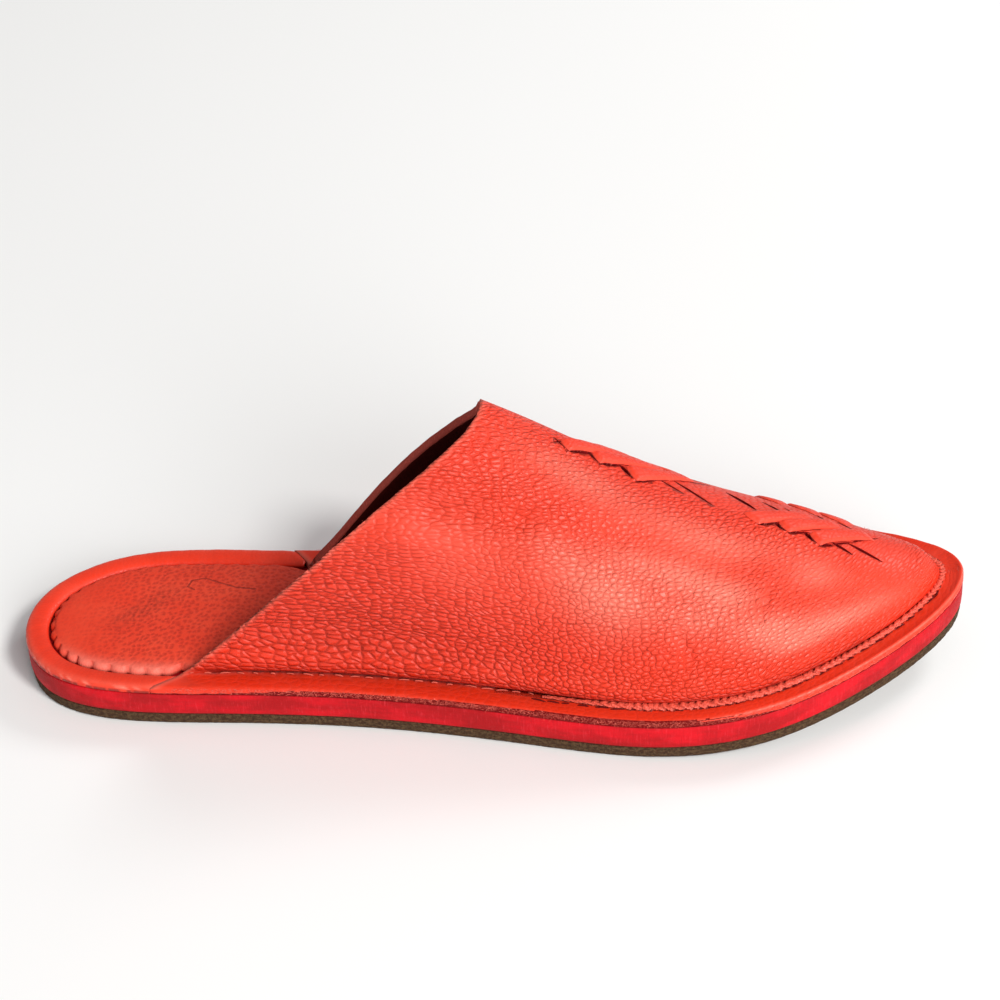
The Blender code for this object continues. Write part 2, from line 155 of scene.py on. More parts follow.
# Slits of the weave, in millimetres from the heel and from the sole's centre line
SLITS = (
    # from x, y; to x, y; width
    (184.2, 3.4, 191.0, 0.2, 0.72),
    (188.0, 6.4, 199.2, -1.2, 0.98),
    (203.2, 10.7, 211.4, 2.9, 1.43),
    (213.4, 10.6, 221.6, 3.4, 0.98),
    (219.6, 9.9, 230.8, 2.5, 0.98),
    (227.2, 12.9, 231.0, 9.6, 0.85),
    (234.9, 10.4, 238.8, 8.0, 0.78),
    (231.6, -2.8, 237.8, -5.7, 0.98),
    (236.4, -1.2, 246.4, -5.3, 1.10),
    (159.3, -2.0, 166.4, 2.1, 0.98),
    (167.8, -1.5, 174.6, 2.5, 0.98),
    (177.9, -2.6, 185.0, 3.9, 1.10),
    (184.8, 4.0, 191.4, 9.2, 0.65),
    (191.4, 9.3, 198.8, 13.8, 0.59),
    (211.5, -4.4, 217.8, -0.9, 0.85),
    (219.8, -4.5, 226.0, -1.6, 0.91),
    (228.5, -6.1, 232.4, -4.2, 1.17),
    (232.2, -4.0, 238.0, -0.5, 0.72),
    (238.0, -0.4, 246.2, 6.4, 0.65),
    (164.7, 2.2, 168.0, -0.9, 1.38),
    (173.4, 2.6, 177.0, -1.6, 1.49),
    (216.0, -0.9, 219.2, -3.9, 1.38),
    (224.2, -1.9, 227.6, -5.2, 1.54),
    (155.4, 1.5, 158.6, -1.1, 0.52),
    (155.6, -0.9, 158.2, 1.6, 0.45),
    (193.4, 15.2, 201.2, 19.0, 1.04),
    (186.6, 17.0, 194.4, 20.6, 0.91),
    (238.4, 12.2, 246.2, 14.4, 0.91),
    (164.0, 21.6, 170.4, 17.8, 0.91),
    (172.8, 21.8, 179.2, 18.0, 0.91),
    (181.4, 22.2, 187.8, 18.4, 0.91),
    (213.6, 19.4, 220.0, 15.8, 0.91),
    (222.6, 18.2, 229.0, 14.6, 0.91),
    (231.2, 16.6, 237.6, 13.2, 0.91),
)
# Raised ends of the strips in millimetres: each end runs from its tip to its front corner
STRIPS = (
    # side (-1 lateral, 1 medial), tip x, y; corner x, y; degrees from the length, bend, reach
    (-1, 157.4, 1.6, 159.8, -1.7, 31, 8, 25.0),
    (-1, 165.9, 2.7, 168.2, -1.2, 31, 8, 25.0),
    (-1, 175.2, 3.0, 178.2, -2.3, 41, -10, 24.0),
    (-1, 207.6, -0.8, 211.9, -4.1, 29, 6, 22.0),
    (-1, 217.3, -0.6, 220.2, -4.2, 29, 8, 21.0),
    (-1, 225.8, -2.1, 228.8, -5.8, 30, 12, 21.0),
    (1, 162.2, 21.4, 164.6, 25.0, 38, 8, 14.0),
    (1, 171.0, 21.6, 173.4, 25.2, 38, 8, 14.0),
    (1, 179.6, 21.6, 182.0, 25.2, 38, 8, 15.0),
    (1, 212.0, 19.6, 214.2, 23.2, 37, 4, 12.0),
    (1, 220.8, 18.4, 223.2, 21.8, 36, 2, 12.5),
    (1, 229.4, 16.4, 231.8, 19.8, 35, 0, 12.5),
)
STRIP_WIDTH = 5.0
FLANGE_FIBRES = 3200
COLLAR_FIBRES = 90
# The smudge on the insole's heel in millimetres: its middle, half its width, half its length
SMUDGE = (34.0, 4.0, 6.5, 17.0)

# Points closer than the first of these are merged, and faces thinner than the second dropped
MERGE = 2e-6
THIN = 1e-7


def cubic(knots, values, at, closed=False):
    """Values at `at` of the cubic spline through the knots, natural or closed."""
    knots = np.asarray(knots, float)
    values = np.asarray(values, float)
    count = len(knots)
    gaps = np.diff(knots)
    slopes = np.diff(values) / gaps
    matrix = np.zeros((count, count))
    right = np.zeros(count)
    for i in range(1, count - 1):
        matrix[i, i - 1:i + 2] = gaps[i - 1], 2 * (gaps[i - 1] + gaps[i]), gaps[i]
        right[i] = 6 * (slopes[i] - slopes[i - 1])
    matrix[0, 0] = 1
    if closed:
        matrix[0, -1] = -1
        matrix[-1, 0:2] = 2 * gaps[0], gaps[0]
        matrix[-1, -2:] += gaps[-1], 2 * gaps[-1]
        right[-1] = 6 * (slopes[0] - slopes[-1])
    else:
        matrix[-1, -1] = 1
    bend = np.linalg.solve(matrix, right)
    at = np.asarray(at, float)
    i = np.clip(np.searchsorted(knots, at) - 1, 0, count - 2)
    gap = gaps[i]
    before = (knots[i + 1] - at) / gap
    after = (at - knots[i]) / gap
    curve = (before ** 3 - before) * bend[i] + (after ** 3 - after) * bend[i + 1]
    return before * values[i] + after * values[i + 1] + curve * gap ** 2 / 6


def column(table, number):
    """One column of a table as an array."""
    return np.array([row[number] for row in table])


def ease(share):
    """A smooth step from 0 to 1."""
    share = np.clip(share, 0, 1)
    return share * share * (3 - 2 * share)


def waves(place, pitches, seed):
    """A smooth wander within -1 and 1 along a length, from a few waves of the given pitches."""
    phases = np.random.RandomState(seed).uniform(0, 2 * math.pi, len(pitches))
    total = sum(np.sin(2 * math.pi * place / pitch + phase) for pitch, phase in zip(pitches, phases))
    return total / len(pitches)


def bell(*offsets):
    """1 where every offset is 0, falling off smoothly round it."""
    return np.exp(-sum(offset ** 2 for offset in offsets))


def spots(x, y, z=0.0):
    """Points from three coordinates, each a number or an array."""
    return np.stack(np.broadcast_arrays(x, y, z), -1)


OUTLINE_ANGLES = np.arccos(1 - 2 * column(OUTLINE, 0))
OUTLINE_KNOTS = np.concatenate(
    [[0], OUTLINE_ANGLES, [math.pi], 2 * math.pi - OUTLINE_ANGLES[::-1], [2 * math.pi]]
)
OUTLINE_ACROSS = np.concatenate([
    [0],
    -column(OUTLINE, 1) * column(OUTLINE, 3),
    [TOE_LEAN],
    (column(OUTLINE, 2) * column(OUTLINE, 3))[::-1],
    [0],
])


def outline(turn, inset=0.0):
    """The sole's edge in plan at an angle from the heel (0) by the lateral side to the toe (pi)."""
    turn = np.asarray(turn, float)

    def point(angle):
        angle = np.mod(angle, 2 * math.pi)
        across = cubic(OUTLINE_KNOTS, OUTLINE_ACROSS, angle, closed=True)
        return SOLE_LENGTH * (1 - np.cos(angle)) / 2, across

    x, y = point(turn)
    step = 1e-3
    x0, y0 = point(turn - step)
    x1, y1 = point(turn + step)
    length = np.hypot(x1 - x0, y1 - y0)
    return x - inset * (y1 - y0) / length, y + inset * (x1 - x0) / length


def floor_line(x):
    """Height of the sole's underside: flat from the heel to the ball, then rising to the toe."""
    past = np.clip((x / SOLE_LENGTH - SPRING_START) / (1 - SPRING_START), 0, None)
    return TOE_SPRING * past ** 2


MIDSOLE_BASE = OUTSOLE_THICKNESS + SEAT_GAP
LEATHER_BASE = MIDSOLE_BASE + MIDSOLE_THICKNESS + SEAT_GAP
FLANGE_TOP = LEATHER_BASE + LEATHER_THICKNESS
TURNS = np.linspace(0, math.pi, 800)
PLAN_CENTRE = np.array([
    SOLE_LENGTH / 2,
    (outline(TURNS)[1].min() + outline(-TURNS)[1].max()) / 2,
    0.0,
])
ARC_TURNS = np.linspace(0, 2 * math.pi, 3000)
ARC_LENGTHS = np.concatenate([[0], np.cumsum(np.hypot(*np.diff(np.array(outline(ARC_TURNS)), axis=1)))])


def arc(turn):
    """Length along the sole's edge from the heel by the lateral side."""
    return np.interp(np.mod(turn, 2 * math.pi), ARC_TURNS, ARC_LENGTHS)


def turn_at(length):
    """The angle round the outline at a length along its edge."""
    return np.interp(length, ARC_LENGTHS, ARC_TURNS)


class WallFace:
    """A face of the upper's wall: the outer one, or one at a depth below and inside it."""

    def __init__(self, depth):
        self.depth = depth
        self.lateral = outline(TURNS, RIM_WIDTH + depth)
        self.medial = outline(2 * math.pi - TURNS, RIM_WIDTH + depth)
        self.tip = float(self.lateral[0][-1])

    def foot(self, x):
        """The lateral and the medial foot of the wall at a place along the shoe."""
        return np.interp(x, *self.lateral), np.interp(x, *self.medial)

    def foot_turn(self, share, medial=False):
        """The angle round the outline at which the wall's foot passes a share of the length."""
        track = self.medial if medial else self.lateral
        angle = float(np.interp(share * SOLE_LENGTH, track[0], TURNS))
        return 2 * math.pi - angle if medial else angle

    def ridge_height(self, x):
        """Height of the ridge over the foot, rounded off over the nose."""
        shares = column(RIDGE, 0)
        start = NOSE_START * SOLE_LENGTH
        height = INSTEP_HEIGHT * cubic(shares * SOLE_LENGTH, column(RIDGE, 1), np.minimum(x, start))
        fall = (RIDGE[-1][1] - RIDGE[-2][1]) / (shares[-1] - shares[-2])
        slope = INSTEP_HEIGHT * fall / SOLE_LENGTH
        past = np.clip((x - start) / (self.tip - start), 0, 1)
        return (height + slope * np.maximum(x - start, 0)) * np.sqrt(1 - past ** 2)

    def middle(self, x):
        """The place across the shoe below the ridge."""
        lateral, medial = self.foot(x)
        shift = np.interp(x / SOLE_LENGTH, column(SECTIONS, 0), column(SECTIONS, 2))
        return (lateral + medial) / 2 + RIDGE_OFFSET * shift

    def point(self, x, angle):
        """A point of the face, from the lateral foot (0) over the ridge to the medial one (pi)."""
        lateral, medial = self.foot(x)
        middle = self.middle(x)
        half = np.where(np.cos(angle) > 0, middle - lateral, medial - middle)
        power = np.interp(x / SOLE_LENGTH, column(SECTIONS, 0), column(SECTIONS, 1))
        rise = self.ridge_height(x) * np.abs(np.sin(angle)) ** power
        height = floor_line(x) + FLANGE_TOP - self.depth + rise
        return spots(x, middle - half * np.cos(angle), height)

    def angle(self, x, y):
        """The section angle of the face over a place in plan."""
        lateral, medial = self.foot(x)
        middle = self.middle(x)
        half = np.where(y < middle, middle - lateral, medial - middle)
        return np.arccos(np.clip((middle - y) / half, -1, 1))


OUTER = WallFace(0.0)
INNER = WallFace(LEATHER_THICKNESS)


def fold_height(points):
    """How far the upper's folds lift or sink each point."""
    total = np.zeros(points.shape[:-1])
    for x0, a0, x1, a1, width, height in FOLDS:
        start = OUTER.point(np.array(x0 * SOLE_LENGTH), np.array(math.radians(a0)))
        along = OUTER.point(np.array(x1 * SOLE_LENGTH), np.array(math.radians(a1))) - start
        share = np.clip(((points - start) @ along) / (along @ along), 0, 1)
        away = np.linalg.norm(points - start - share[..., None] * along, axis=-1)
        total += height * MM * bell(away / (width * MM))
    return total


def over(x, y, rise=0.0):
    """Points at a distance from the folded outer face, over places in plan near the ridge."""
    step = 1e-4

    def face(x, y):
        return OUTER.point(x, OUTER.angle(x, y))

    here = face(x, y)
    normal = np.cross(face(x + step, y) - here, face(x, y + step) - here)
    normal /= np.linalg.norm(normal, axis=-1)[..., None]
    return here + normal * (rise + fold_height(here))[..., None]


# Building meshes


def grid_faces(rows, columns, start=0, closed=False, flip=False):
    """Quads between rows of points, each row's columns joined round where it is closed."""
    r, c = np.meshgrid(np.arange(rows - 1), np.arange(columns if closed else columns - 1), indexing="ij")
    n = (c + 1) % columns
    quads = np.stack([r * columns + c, r * columns + n, (r + 1) * columns + n, (r + 1) * columns + c], -1)
    quads = quads.reshape(-1, 4) + start
    return quads[:, ::-1] if flip else quads


def bridge(one, two):
    """Faces between two chains of points, each shared corner taken once."""
    faces = []
    for corners in zip(one, one[1:], two[1:], two):
        corners = list(dict.fromkeys(corners))
        if len(corners) > 2:
            faces.append(corners)
    return faces


def ring_body(lines, places, start=0):
    """Points, faces and hide places of a body given by the lines along it, closed at both ends."""
    points = np.array(lines).transpose(1, 0, 2)
    rows, size = points.shape[:2]
    faces = grid_faces(rows, size, start, closed=True).tolist()
    last = start + (rows - 1) * size
    faces += [list(range(start, start + size)), list(range(last, last + size))[::-1]]
    return points.reshape(-1, 3), faces, np.array(places).transpose(1, 0, 2).reshape(-1, 3)


def mend(mesh):
    """Merges doubled points, drops empty faces and turns all faces outward."""
    body = bmesh.new()
    body.from_mesh(mesh)
    bmesh.ops.remove_doubles(body, verts=body.verts, dist=MERGE)
    bmesh.ops.dissolve_degenerate(body, edges=body.edges, dist=THIN)
    bmesh.ops.recalc_face_normals(body, faces=body.faces)
    body.to_mesh(mesh)
    body.free()


def new_piece(name, points, faces, hide, finishes, kinds=None, maps=None):
    """A smooth mesh object in the frame's place, riding on the mule's one body."""
    mesh = bpy.data.meshes.new(name)
    faces = [list(map(int, face)) for face in faces]
    mesh.from_pydata((np.asarray(points) - PLAN_CENTRE).tolist(), [], faces)
    for finish in finishes:
        mesh.materials.append(finish)
    if kinds is not None:
        mesh.polygons.foreach_set("material_index", np.asarray(kinds, np.int32))
    layers = [("hide", "FLOAT_VECTOR", "vector", hide)]
    layers += [(key, "FLOAT", "value", values) for key, values in (maps or {}).items()]
    for key, kind, entry, values in layers:
        layer = mesh.attributes.new(key, kind, "POINT")
        layer.data.foreach_set(entry, np.asarray(values, np.float32).ravel())
    mend(mesh)
    mesh.shade_smooth()
    piece = bpy.data.objects.new(name, mesh)
    bpy.context.scene.collection.objects.link(piece)
    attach(piece, "root")
    return piece


def tubes(paths, radii, sides=8, taper=0.35):
    """Closed round tubes along paths, each narrowing at its ends."""
    parts = []
    start = 0
    for path, radius in zip(paths, radii):
        ahead = np.gradient(path, axis=0)
        ahead /= np.linalg.norm(ahead, axis=1)[:, None]
        side = np.cross(ahead, (0.0, 0.0, 1.0))
        side /= np.maximum(np.linalg.norm(side, axis=1), 1e-9)[:, None]
        lift = np.cross(side, ahead)
        share = np.linspace(-1, 1, len(path))
        girth = radius * (taper + (1 - taper) * np.sqrt(np.clip(1 - share ** 4, 0, 1)))
        steps = np.linalg.norm(np.diff(path, axis=0), axis=1)
        length = np.concatenate([[0], np.cumsum(steps)])
        lines = []
        places = []
        for turn in 2 * math.pi * np.arange(sides) / sides:
            around = side * math.cos(turn) + lift * math.sin(turn)
            lines.append(path + around * girth[:, None])
            places.append(spots(length, radius * turn))
        parts.append(ring_body(lines, places, start))
        start += sides * len(path)
    points, faces, hide = zip(*parts)
    return np.concatenate(points), sum(faces, []), np.concatenate(hide)


# Finishes


class Signal:
    """A shader output that Python's arithmetic works on."""

    def __init__(self, finish, socket):
        self.finish = finish
        self.socket = socket

    def math(self, operation, *others):
        return self.finish.add("Math", {"operation": operation}, dict(enumerate((self, *others))))

    def __add__(self, other):
        return self.math("ADD", other)

    __radd__ = __add__

    def __sub__(self, other):
        return self.math("SUBTRACT", other)

    def __rsub__(self, other):
        return self.finish.add("Math", {"operation": "SUBTRACT"}, {0: other, 1: self})

    def __mul__(self, other):
        return self.math("MULTIPLY", other)

    __rmul__ = __mul__

    def __truediv__(self, other):
        return self.math("DIVIDE", other)

    def least(self, other):
        return self.math("MINIMUM", other)

    def most(self, other):
        return self.math("MAXIMUM", other)

    def size(self):
        return self.math("ABSOLUTE")

    def ramp(self, low, high, start=0.0, end=1.0):
        """A smooth step from one value to another between two levels of this signal."""
        settings = {"interpolation_type": "SMOOTHSTEP"}
        values = {"Value": self, "From Min": low, "From Max": high, "To Min": start, "To Max": end}
        return self.finish.add("MapRange", settings, values)


class Finish:
    """A material in the making: its nodes, and the shader at its end."""

    def __init__(self, name, **settings):
        self.material = bpy.data.materials.new(name)
        self.material.use_nodes = True
        self.tree = self.material.node_tree
        self.shader = self.tree.nodes["Principled BSDF"]
        for key, value in settings.items():
            self.feed(self.shader.inputs[key.replace("_", " ")], value)

    def add(self, kind, settings=None, sockets=None, output=0):
        """One output of a new node, with its settings made and its sockets filled or linked."""
        node = self.tree.nodes.new("ShaderNode" + kind)
        for key, value in (settings or {}).items():
            setattr(node, key, value)
        for key, value in (sockets or {}).items():
            self.feed(node.inputs[key], value)
        return Signal(self, node.outputs[output])

    def feed(self, entry, value):
        """Links a signal to a socket, or sets the socket to a number, a vector or a colour."""
        if isinstance(value, Signal):
            self.tree.links.new(value.socket, entry)
        elif entry.type == "RGBA":
            entry.default_value = (*value, 1.0)
        else:
            entry.default_value = value

    def attribute(self, name, output="Fac"):
        return self.add("Attribute", {"attribute_name": name}, output=output)

    def vector(self, operation, sockets):
        return self.add("VectorMath", {"operation": operation}, sockets)

    def place(self):
        """The place on the hide: millimetres along the piece, across it, and its depth."""
        hide = self.attribute("hide", "Vector")
        return self.vector("SCALE", {0: hide, "Scale": 1 / MM})

    def stretch(self, vector, factors):
        return self.vector("MULTIPLY", {0: vector, 1: factors})

    def shifted(self, vector, other, amount):
        spread = self.vector("SCALE", {0: other, "Scale": amount})
        return self.vector("ADD", {0: vector, 1: spread})

    def noise(self, vector, scale, detail=3.0, rough=0.5, output=0):
        sockets = {"Vector": vector, "Scale": scale, "Detail": detail, "Roughness": rough}
        return self.add("TexNoise", {}, sockets, output)

    def cells(self, vector, scale, feature, random):
        settings = {"feature": feature, "voronoi_dimensions": "2D"}
        return self.add("TexVoronoi", settings, {"Vector": vector, "Scale": scale, "Randomness": random})

    def blend(self, factor, one, two):
        """A colour between two others."""
        return self.add("Mix", {"data_type": "RGBA"}, {0: factor, 6: one, 7: two}, 2)

    def tinted(self, colour, *layers):
        """A colour with others laid over it in turn, each with its strength."""
        for factor, other in layers:
            colour = self.blend(factor, colour, other)
        return colour

    def shade(self, colour, factor):
        """A colour made darker or lighter by a factor."""
        return self.vector("SCALE", {0: colour, "Scale": factor})

    def bump(self, height, distance):
        return self.add("Bump", {}, {"Height": height, "Distance": distance, "Strength": 1.0})

    def end(self, colour, roughness, normal):
        """The finished material."""
        for key, value in (("Base Color", colour), ("Roughness", roughness), ("Normal", normal)):
            self.feed(self.shader.inputs[key], value)
        return self.material


def colour_property(name, description, default):
    return bpy.props.FloatVectorProperty(
        name=name, description=description, default=default, size=3, min=0.0, max=1.0, subtype="COLOR"
    )


def number_property(name, description, default, **settings):
    return bpy.props.FloatProperty(
        name=name, description=description, default=default, min=0.0, **settings
    )


def length_property(name, description, default):
    return number_property(name, description, default, unit="LENGTH", precision=4)


class MuleLeather(bpy.types.PropertyGroup):
    """The leather of the upper."""

    colour: colour_property("Leather", "Colour of the upper's grain", (0.835, 0.034, 0.007))
    # The pale colour also paints highlights.
    pale: colour_property("Worn leather", "Colour of the raised and rubbed grain", (0.950, 0.205, 0.140))
    groove: colour_property("Grooves", "Colour between the pebbles", (0.330, 0.014, 0.006))
    raw: colour_property("Cut edge", "Colour of the raw cut edge", (0.190, 0.004, 0.005))
    fibre: colour_property("Fibres", "Colour of the loose fibres of the cut edge", (0.800, 0.150, 0.110))
    inside: colour_property("Flesh side", "Colour of the leather inside the shoe", (0.070, 0.007, 0.005))
    # Colour of painted shade in the seams, folds and hollows, and of the cracks along the heel strip
    shade_and_cracks: colour_property("Dirt", "Colour of the dirt in the seams", (0.115, 0.005, 0.003))
    spots: colour_property("Spots", "Colour of the spots on the heel strip", (0.05, 0.012, 0.008))
    pebble_length: length_property("Pebble length", "Length of a pebble along the shoe", 0.00195)
    pebble_width: length_property("Pebble width", "Width of a pebble round the foot", 0.00170)
    pebble_depth: length_property("Pebble depth", "Depth of the grooves between the pebbles", 0.00050)


class MuleStitching(bpy.types.PropertyGroup):
    """Threads and the puckered lip."""

    thread: colour_property("Thread", "Colour of the thread in the groove", (0.740, 0.130, 0.090))
    # Colour of the stitches under the lip, darkened to paint their shade
    shaded_thread: colour_property("Stitch holes", "Colour of the holes under the lip", (0.130, 0.004, 0.004))
    pitch: length_property("Stitch pitch", "Length from one stitch to the next", 0.0046)
    length: length_property("Stitch length", "Length of a stitch", 0.0031)
    girth: length_property("Thread thickness", "Thickness of the thread", 0.0005)
    lip: length_property("Lip", "Radius of the puckered lip", 0.00115)


class MuleSole(bpy.types.PropertyGroup):
    """The sole and the insole."""

    midsole: colour_property("Midsole", "Colour of the midsole's side", (0.660, 0.004, 0.012))
    midsole_dark: colour_property("Dark midsole", "Colour of its dark patches", (0.40, 0.004, 0.007))
    midsole_dust: colour_property("Midsole dust", "Colour of its pale streaks", (0.80, 0.055, 0.080))
    midsole_scuff: colour_property("Midsole scuffs", "Colour of its dark streaks", (0.30, 0.004, 0.012))
    midsole_speck: colour_property("Midsole specks", "Colour of its specks", (0.26, 0.004, 0.010))
    outsole: colour_property("Outsole", "Colour of the outsole", (0.060, 0.026, 0.011))
    outsole_light: colour_property("Light outsole", "Colour of its light lumps", (0.130, 0.074, 0.034))
    outsole_pit: colour_property("Outsole pits", "Colour of its dark pits", (0.016, 0.012, 0.006))
    outsole_crumb: colour_property("Outsole crumbs", "Colour of its pale crumbs", (0.31, 0.20, 0.11))
    insole: colour_property("Insole", "Colour of the insole's leather", (0.790, 0.046, 0.017))
    insole_light: colour_property("Light insole", "Colour of its light patches", (0.82, 0.064, 0.026))
    insole_shadow: colour_property("Insole shadow", "Colour along its far edge", (0.36, 0.026, 0.014))
    insole_pit: colour_property("Insole pits", "Colour of the pits of the insole", (0.360, 0.014, 0.008))
    # Colour of the painted highlights along the insole's edges
    insole_highlight: colour_property("Worn insole", "Colour of the insole's rubbed edge", (0.880, 0.230, 0.170))
    insole_smudge: colour_property("Smudge", "Colour of the smudge on the heel", (0.12, 0.016, 0.010))
    insole_crease: colour_property("Crease", "Colour of the hairline crease", (0.16, 0.010, 0.006))
    scallop: length_property("Scallop pitch", "Length of an arc of the insole's edge", 0.0060)
    scallop_depth: length_property("Scallop depth", "Depth of an arc of the insole's edge", 0.00105)


class MuleStudio(bpy.types.PropertyGroup):
    """The floor and the lights."""

    floor: colour_property("Floor", "Colour of the floor", (0.93, 0.93, 0.93))
    key: number_property("Key", "Strength of the key light", 1.80)
    softness: number_property(
        "Softness", "Angle that the key light fills", math.radians(11.0), subtype="ANGLE"
    )
    fill: number_property("Fill", "Power of the front light", 10.5, unit="POWER")
    back: number_property("Back", "Power of the far light", 5.0, unit="POWER")
    sky: number_property("Sky", "Strength of the light all round", 0.27)


def leather_finish(name, depth, grain=1.0, dirt=0.0):
    """Pebbled leather: plates parted by grooves, finer grain on them, paler patches of wear and painted
    highlight, and painted shade.
    """
    look = bpy.context.scene.mule_leather
    finish = Finish(name, Specular_IOR_Level=0.44)
    place = finish.place()
    # A slow drift and a quick waver bend the pattern.
    drift = finish.noise(place, 0.05, 2.0, 0.5, output=1)
    waver = finish.noise(place, 0.42, 1.5, 0.45, output=1)
    warped = finish.shifted(finish.shifted(place, drift, 5.0 * grain), waver, 0.7 * grain)
    long, wide = look.pebble_length / MM * grain, look.pebble_width / MM * grain
    plates = finish.stretch(warped, (1.0 / long, 1.0 / wide, 1.0))
    furrows = finish.stretch(warped, (0.30 / long, 0.36 / wide, 1.0))
    # Domed plates are parted by fine grooves, and groups of plates by deeper furrows.
    edge = finish.cells(plates, 1.0, "DISTANCE_TO_EDGE", 0.82)
    dome = finish.cells(plates, 1.0, "F1", 0.82)
    furrow = finish.cells(furrows, 1.0, "DISTANCE_TO_EDGE", 1.0).ramp(0.0, 0.10)
    pores = finish.noise(place, 2.6, 4.0, 0.65)
    sides = finish.noise(place, 0.9, 3.0, 0.6)
    valley = edge.ramp(0.0, 0.30)
    strength = finish.attribute("grain")
    height = valley * 0.42 + (1.0 - dome * dome * 1.4) * 0.66 + furrow * 0.14
    height = height + pores * 0.03 + sides * 0.07
    normal = finish.bump(height * strength, depth)
    patch = finish.noise(place, 0.06, 3.0, 0.6)
    worn = finish.attribute("worn")
    line = (1.0 - edge.ramp(0.0, 0.13)) * 0.22 + (1.0 - furrow) * 0.07
    # The pale colour is laid partly as wear and partly as painted highlight.
    colour = finish.tinted(
        look.colour,
        (patch.ramp(0.45, 0.80) * 0.08, look.pale),
        (worn * 0.8, look.pale),
        ((line * strength).least(0.8), look.groove),
    )
    colour = finish.shade(colour, 0.90 + patch * 0.10 + sides * 0.06)
    # Painted shade darkens seams and hollows; on the heel strip the same layer also marks its cracks.
    shade_and_cracks = (finish.attribute("shade_and_cracks") * (0.6 + pores * 0.8)).least(1.0)
    colour = finish.blend(shade_and_cracks * 0.9, colour, look.shade_and_cracks)
    if dirt:
        spotted = finish.noise(place, 0.5, 4.0, 0.7).ramp(0.55, 0.75)
        colour = finish.blend(spotted * dirt, colour, look.spots)
    roughness = 0.37 + (1.0 - valley) * 0.22 + pores * 0.10 - worn * 0.05
    return finish.end(colour, roughness, normal)


def raw_finish(name, bleach=0.0):
    """The cut edge of the leather: dark and fuzzy, with pale fibre ends."""
    look = bpy.context.scene.mule_leather
    finish = Finish(name, Specular_IOR_Level=0.1)
    place = finish.place()
    fuzz = finish.noise(finish.stretch(place, (1.3, 1.9, 1.3)), 1.0, 6.0, 0.85)
    streak = finish.noise(finish.stretch(place, (0.45, 2.6, 1.0)), 1.0, 3.0, 0.7)
    pale = fuzz.ramp(0.54, 0.61) * 0.95 + streak.ramp(0.57, 0.74) * 0.35 + bleach
    colour = finish.blend(pale.least(1.0), look.raw, look.fibre)
    normal = finish.bump(fuzz * 0.7 + streak * 0.3, 0.6 * MM)
    return finish.end(colour, 0.85 + fuzz * 0.1, normal)


def suede_finish(name):
    """The flesh side of the leather."""
    look = bpy.context.scene.mule_leather
    finish = Finish(name, Specular_IOR_Level=0.1)
    place = finish.place()
    nap = finish.noise(place, 1.6, 6.0, 0.75)
    patch = finish.noise(place, 0.08, 2.0, 0.5)
    colour = finish.shade(look.inside, 0.55 + nap * 0.6 + patch * 0.5)
    return finish.end(colour, 0.9 + nap * 0.08, finish.bump(nap, 0.5 * MM))


def thread_finish(name, colour):
    """Twisted thread or fibre of one colour."""
    finish = Finish(name, Specular_IOR_Level=0.15)
    ply = finish.noise(finish.stretch(finish.place(), (9.0, 6.0, 1.0)), 1.0, 2.0, 0.5)
    return finish.end(finish.shade(colour, 0.65 + ply * 0.7), 0.7 + ply * 0.1, finish.bump(ply, 0.2 * MM))


# The upper


# The wall's mesh: rows from the collar to the toe, columns round the section
ROWS = 210
COLUMNS = 168
WALL_SHARES = np.linspace(-1, 1, COLUMNS + 1)
WALL_ANGLES = math.pi / 2 * (1 + np.sign(WALL_SHARES) * (1 - (1 - np.abs(WALL_SHARES)) ** 1.6))
WALL_STEPS = 1 - (1 - np.linspace(0, 1, ROWS + 1)) ** 1.5
# The share of the length over which the flange's ends slant
SLANT_SHARE = 1 - (1 - 4 / 32) ** 1.5
FLANGE_SHARES = 1 - (1 - np.linspace(0, 1, 13)[1:]) ** 1.5
EDGE_LEVELS = np.linspace(0, 1, 6)[1:-1]
FLANGE_SECTION = (
    # share across, rise along the side mm, rise round the toe mm
    (0.00, 0.00, 0.00),
    (0.12, -0.22, -0.25),
    (0.40, 0.00, -0.50),
    (0.70, 0.14, -0.22),
    (0.88, 0.12, 0.20),
    (0.95, -0.02, 0.12),
    (1.00, -0.34, -0.55),
)
# Which of its piece's finishes a face has
GRAIN, CUT, FLESH, COLLAR_CUT = range(4)


def collar_x(angle):
    """The collar's place along the shoe at an angle round the section, a little ragged."""
    base = SOLE_LENGTH * cubic(np.radians(column(COLLAR, 0)), column(COLLAR, 1), angle)
    ragged = waves(angle * 40.0, (2.3, 3.7, 6.1, 11.0), 4) * 0.22 * MM
    return base + ragged * np.sin(angle)


def toeward(x):
    """0 along the sides of the shoe and 1 round its toe."""
    return ease((x / SOLE_LENGTH - 0.74) / 0.14)


